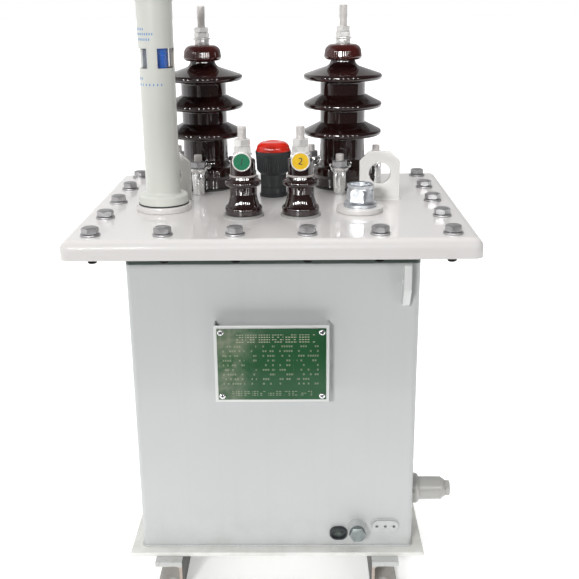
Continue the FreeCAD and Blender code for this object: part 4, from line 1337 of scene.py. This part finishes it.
def addBead(name, kind, loops, lines=(), key="tank", slot="tank_grey"):
    sizes = {"Radius": beads[kind] * mm, "Step": beads["step"] * mm, "Ripple": beads["ripple"],
             "Material": finish[key]}
    settled(grown(name, onPath, sizes, pathsMesh(name + "Path", loops, lines), sharp=80), slot)


def addTankWelds():
    front, back = cornersOf("tank_front_shell"), cornersOf("tank_back_shell")
    low, high = front[0], back[1]
    foot, top = low.z, cornersOf("tank_flange")[0].z
    corner = beads["tankCorner"]
    addBead("tank_foot_weld", "wall", [roundedLoop(low, high, corner, foot + 0.5)])
    addBead("tank_flange_weld", "wall", [roundedLoop(low, high, corner, top - 0.5)])
    addBead("tank_side_seams", "seam", [], [[(x, 0, foot), (x, 0, top)] for x in (low.x + 0.6, high.x - 0.6)])


def addFittingWelds():
    low, high, middle = extentOf("drain_boss")
    loops = [ringLoop(facingFront((middle.x, high.y, middle.z)), (high.x - low.x) / 2 + 0.4)]
    low, high, middle = extentOf("outlet_pipe")
    loops.append(ringLoop(moved(low.x, middle.y, middle.z) @ turned(90, "Y"), (high.z - low.z) / 2 + 0.2))
    low, high, middle = extentOf("oval_plate")
    out = facingFront((middle.x, high.y, middle.z))
    loops.append([out @ Vector((x, y, 0.3)) for x, y in stadium(high.x - low.x + 0.6, high.z - low.z + 0.6)])
    addBead("fitting_welds", "fitting", loops)
    lugs = []
    for node in both("lifting_lug"):
        low, high = cornersOf(node)
        lugs.append(roundedLoop(low, high, beads["lugCorner"], low.z + 0.2, 2))
    addBead("cover_welds", "lug", lugs, key="lug", slot="cover_grey")
    wall = cornersOf("tank_front_shell")[0].y
    low, high = cornersOf("nameplate_bracket")
    stand = [[(x, wall, low.z + 4), (x, wall, high.z - 4)] for x in (low.x, high.x)]
    addBead("nameplate_stand_welds", "stand", [], stand)


addTankWelds()
addFittingWelds()
print("weld beads laid")


viewpoint = {"place": (0.0372, -1.2579, 0.7918), "down": 17.963, "left": 0.845, "roll": -0.593, "lens": 56.84,
             "sensor": 36.0}
floorSizes = {"width": 30.0, "front": -0.8, "back": 30.0, "tone": (0.95, 0.95, 0.95), "roughness": 0.85,
              "glow": 0.3}
# the sky is bright behind and above, dim towards the front, and less bright on the right
sky = {"front": 0.10, "rear": 0.80, "fadeFrom": -0.30, "fadeTo": 0.35, "alongY": 0.95, "alongX": 0.6,
       "domeFrom": 0.50, "domeTo": 0.80, "dome": 0.9, "sideFrom": -0.10, "sideTo": 0.22, "side": 0.5}
# place, aimed at, width, height, watts
lamps = {"key": ((-1.05, -3.35, 1.68), (0, 0, 0.42), 0.55, 0.40, 80),
         "rim": ((-2.6, 1.6, 1.9), (0, 0, 0.5), 0.6, 1.4, 2)}
# soft light from the right that shows in no reflection
fill = ((1.9, -2.4, 0.8), (0, 0, 0.4), 0.9, 0.9, 10)
# small lamps across the front, seen only in reflections, and one wide soft lamp overhead
lampRow = {"count": 8, "from": -56.0, "to": 46.0, "distance": 3.0, "rise": 20.0, "width": 0.13,
           "height": 0.36, "watts": 10.5, "middle": 0.5}
overhead = {"strength": 2.9, "softness": 70.0, "lean": 12.0}


def addFloor():
    half, front, back = floorSizes["width"] / 2, floorSizes["front"], floorSizes["back"]
    mesh = bpy.data.meshes.new("floor")
    mesh.from_pydata([(-half, front, 0), (half, front, 0), (half, back, 0), (-half, back, 0)], [],
                     [(0, 1, 2, 3)])
    floor = bpy.data.objects.new("floor", mesh)
    bpy.context.collection.objects.link(floor)
    paint = Paint("floorPaint", floorSizes["tone"], floorSizes["roughness"], Emission_Color=(1, 1, 1, 1),
                  Emission_Strength=floorSizes["glow"])
    mesh.materials.append(paint.material)


def addWorld():
    # plain white where it is seen directly
    world = bpy.data.worlds.new("studio")
    bpy.context.scene.world = world
    world.use_nodes = True
    tree = Tree(world.node_tree)
    way = tree.node("ShaderNodeSeparateXYZ", {}, [tree.node("ShaderNodeTexCoord").out("Generated")])

    def fade(value, start, end, low, high):
        return tree.node("ShaderNodeMapRange", {"interpolation_type": "SMOOTHSTEP"},
                         {"Value": value, "From Min": start, "From Max": end, "To Min": low, "To Max": high})

    dome = fade(way.out("Z"), sky["domeFrom"], sky["domeTo"], 1.0, 1.0 - sky["dome"])
    side = fade(way.out("X"), sky["sideFrom"], sky["sideTo"], 1.0, sky["side"])
    behind = way.out("Y") * sky["alongY"] - way.out("X") * sky["alongX"]
    rear = fade(behind, sky["fadeFrom"], sky["fadeTo"], 0.0, sky["rear"] - sky["front"])
    level = sky["front"] + dome * side * rear
    seen = tree.node("ShaderNodeLightPath").out("Is Camera Ray")
    background = world.node_tree.nodes["Background"]
    tree.put(background.inputs["Strength"], level + (1 - level) * seen)
    background.inputs["Color"].default_value = (1, 1, 1, 1)


def addLamp(name, place, target, width, height, watts, lights=True, shines=True):
    light = bpy.data.lights.new(name, "AREA")
    light.shape = "RECTANGLE"
    light.size = width
    light.size_y = height
    light.energy = watts
    lamp = bpy.data.objects.new(name, light)
    lamp.visible_diffuse = lights
    lamp.visible_glossy = shines
    lamp.location = place
    lamp.rotation_euler = (Vector(target) - Vector(place)).to_track_quat("-Z", "Y").to_euler()
    bpy.context.collection.objects.link(lamp)


def addLampRow():
    sizes = lampRow
    rise = math.radians(sizes["rise"])
    flat = sizes["distance"] * math.cos(rise)
    level = sizes["middle"] + sizes["distance"] * math.sin(rise)
    for k in range(sizes["count"]):
        turn = math.radians(sizes["from"] + (sizes["to"] - sizes["from"]) * k / (sizes["count"] - 1))
        addLamp("rowLamp" + str(k), (flat * math.sin(turn), -flat * math.cos(turn), level),
                (0, 0, sizes["middle"]), sizes["width"], sizes["height"], sizes["watts"], lights=False)


def addOverhead():
    light = bpy.data.lights.new("overhead", "SUN")
    light.energy = overhead["strength"]
    light.angle = math.radians(overhead["softness"])
    lamp = bpy.data.objects.new("overhead", light)
    lamp.rotation_euler = (math.radians(-overhead["lean"]), 0, 0)
    lamp.visible_glossy = False
    bpy.context.collection.objects.link(lamp)


def addCamera():
    eye = bpy.data.cameras.new("viewCamera")
    eye.lens = viewpoint["lens"]
    eye.sensor_width = viewpoint["sensor"]
    camera = bpy.data.objects.new("viewCamera", eye)
    camera.location = viewpoint["place"]
    aim = turned(viewpoint["left"]) @ turned(90 - viewpoint["down"], "X") @ turned(viewpoint["roll"])
    camera.rotation_euler = aim.to_euler()
    bpy.context.collection.objects.link(camera)
    bpy.context.scene.camera = camera


addFloor()
addWorld()
for name, values in lamps.items():
    addLamp(name, *values)
addLamp("fill", *fill, shines=False)
addLampRow()
addOverhead()
addCamera()
bpy.context.scene.view_settings.view_transform = "Standard"
print("room, lamps and camera placed")
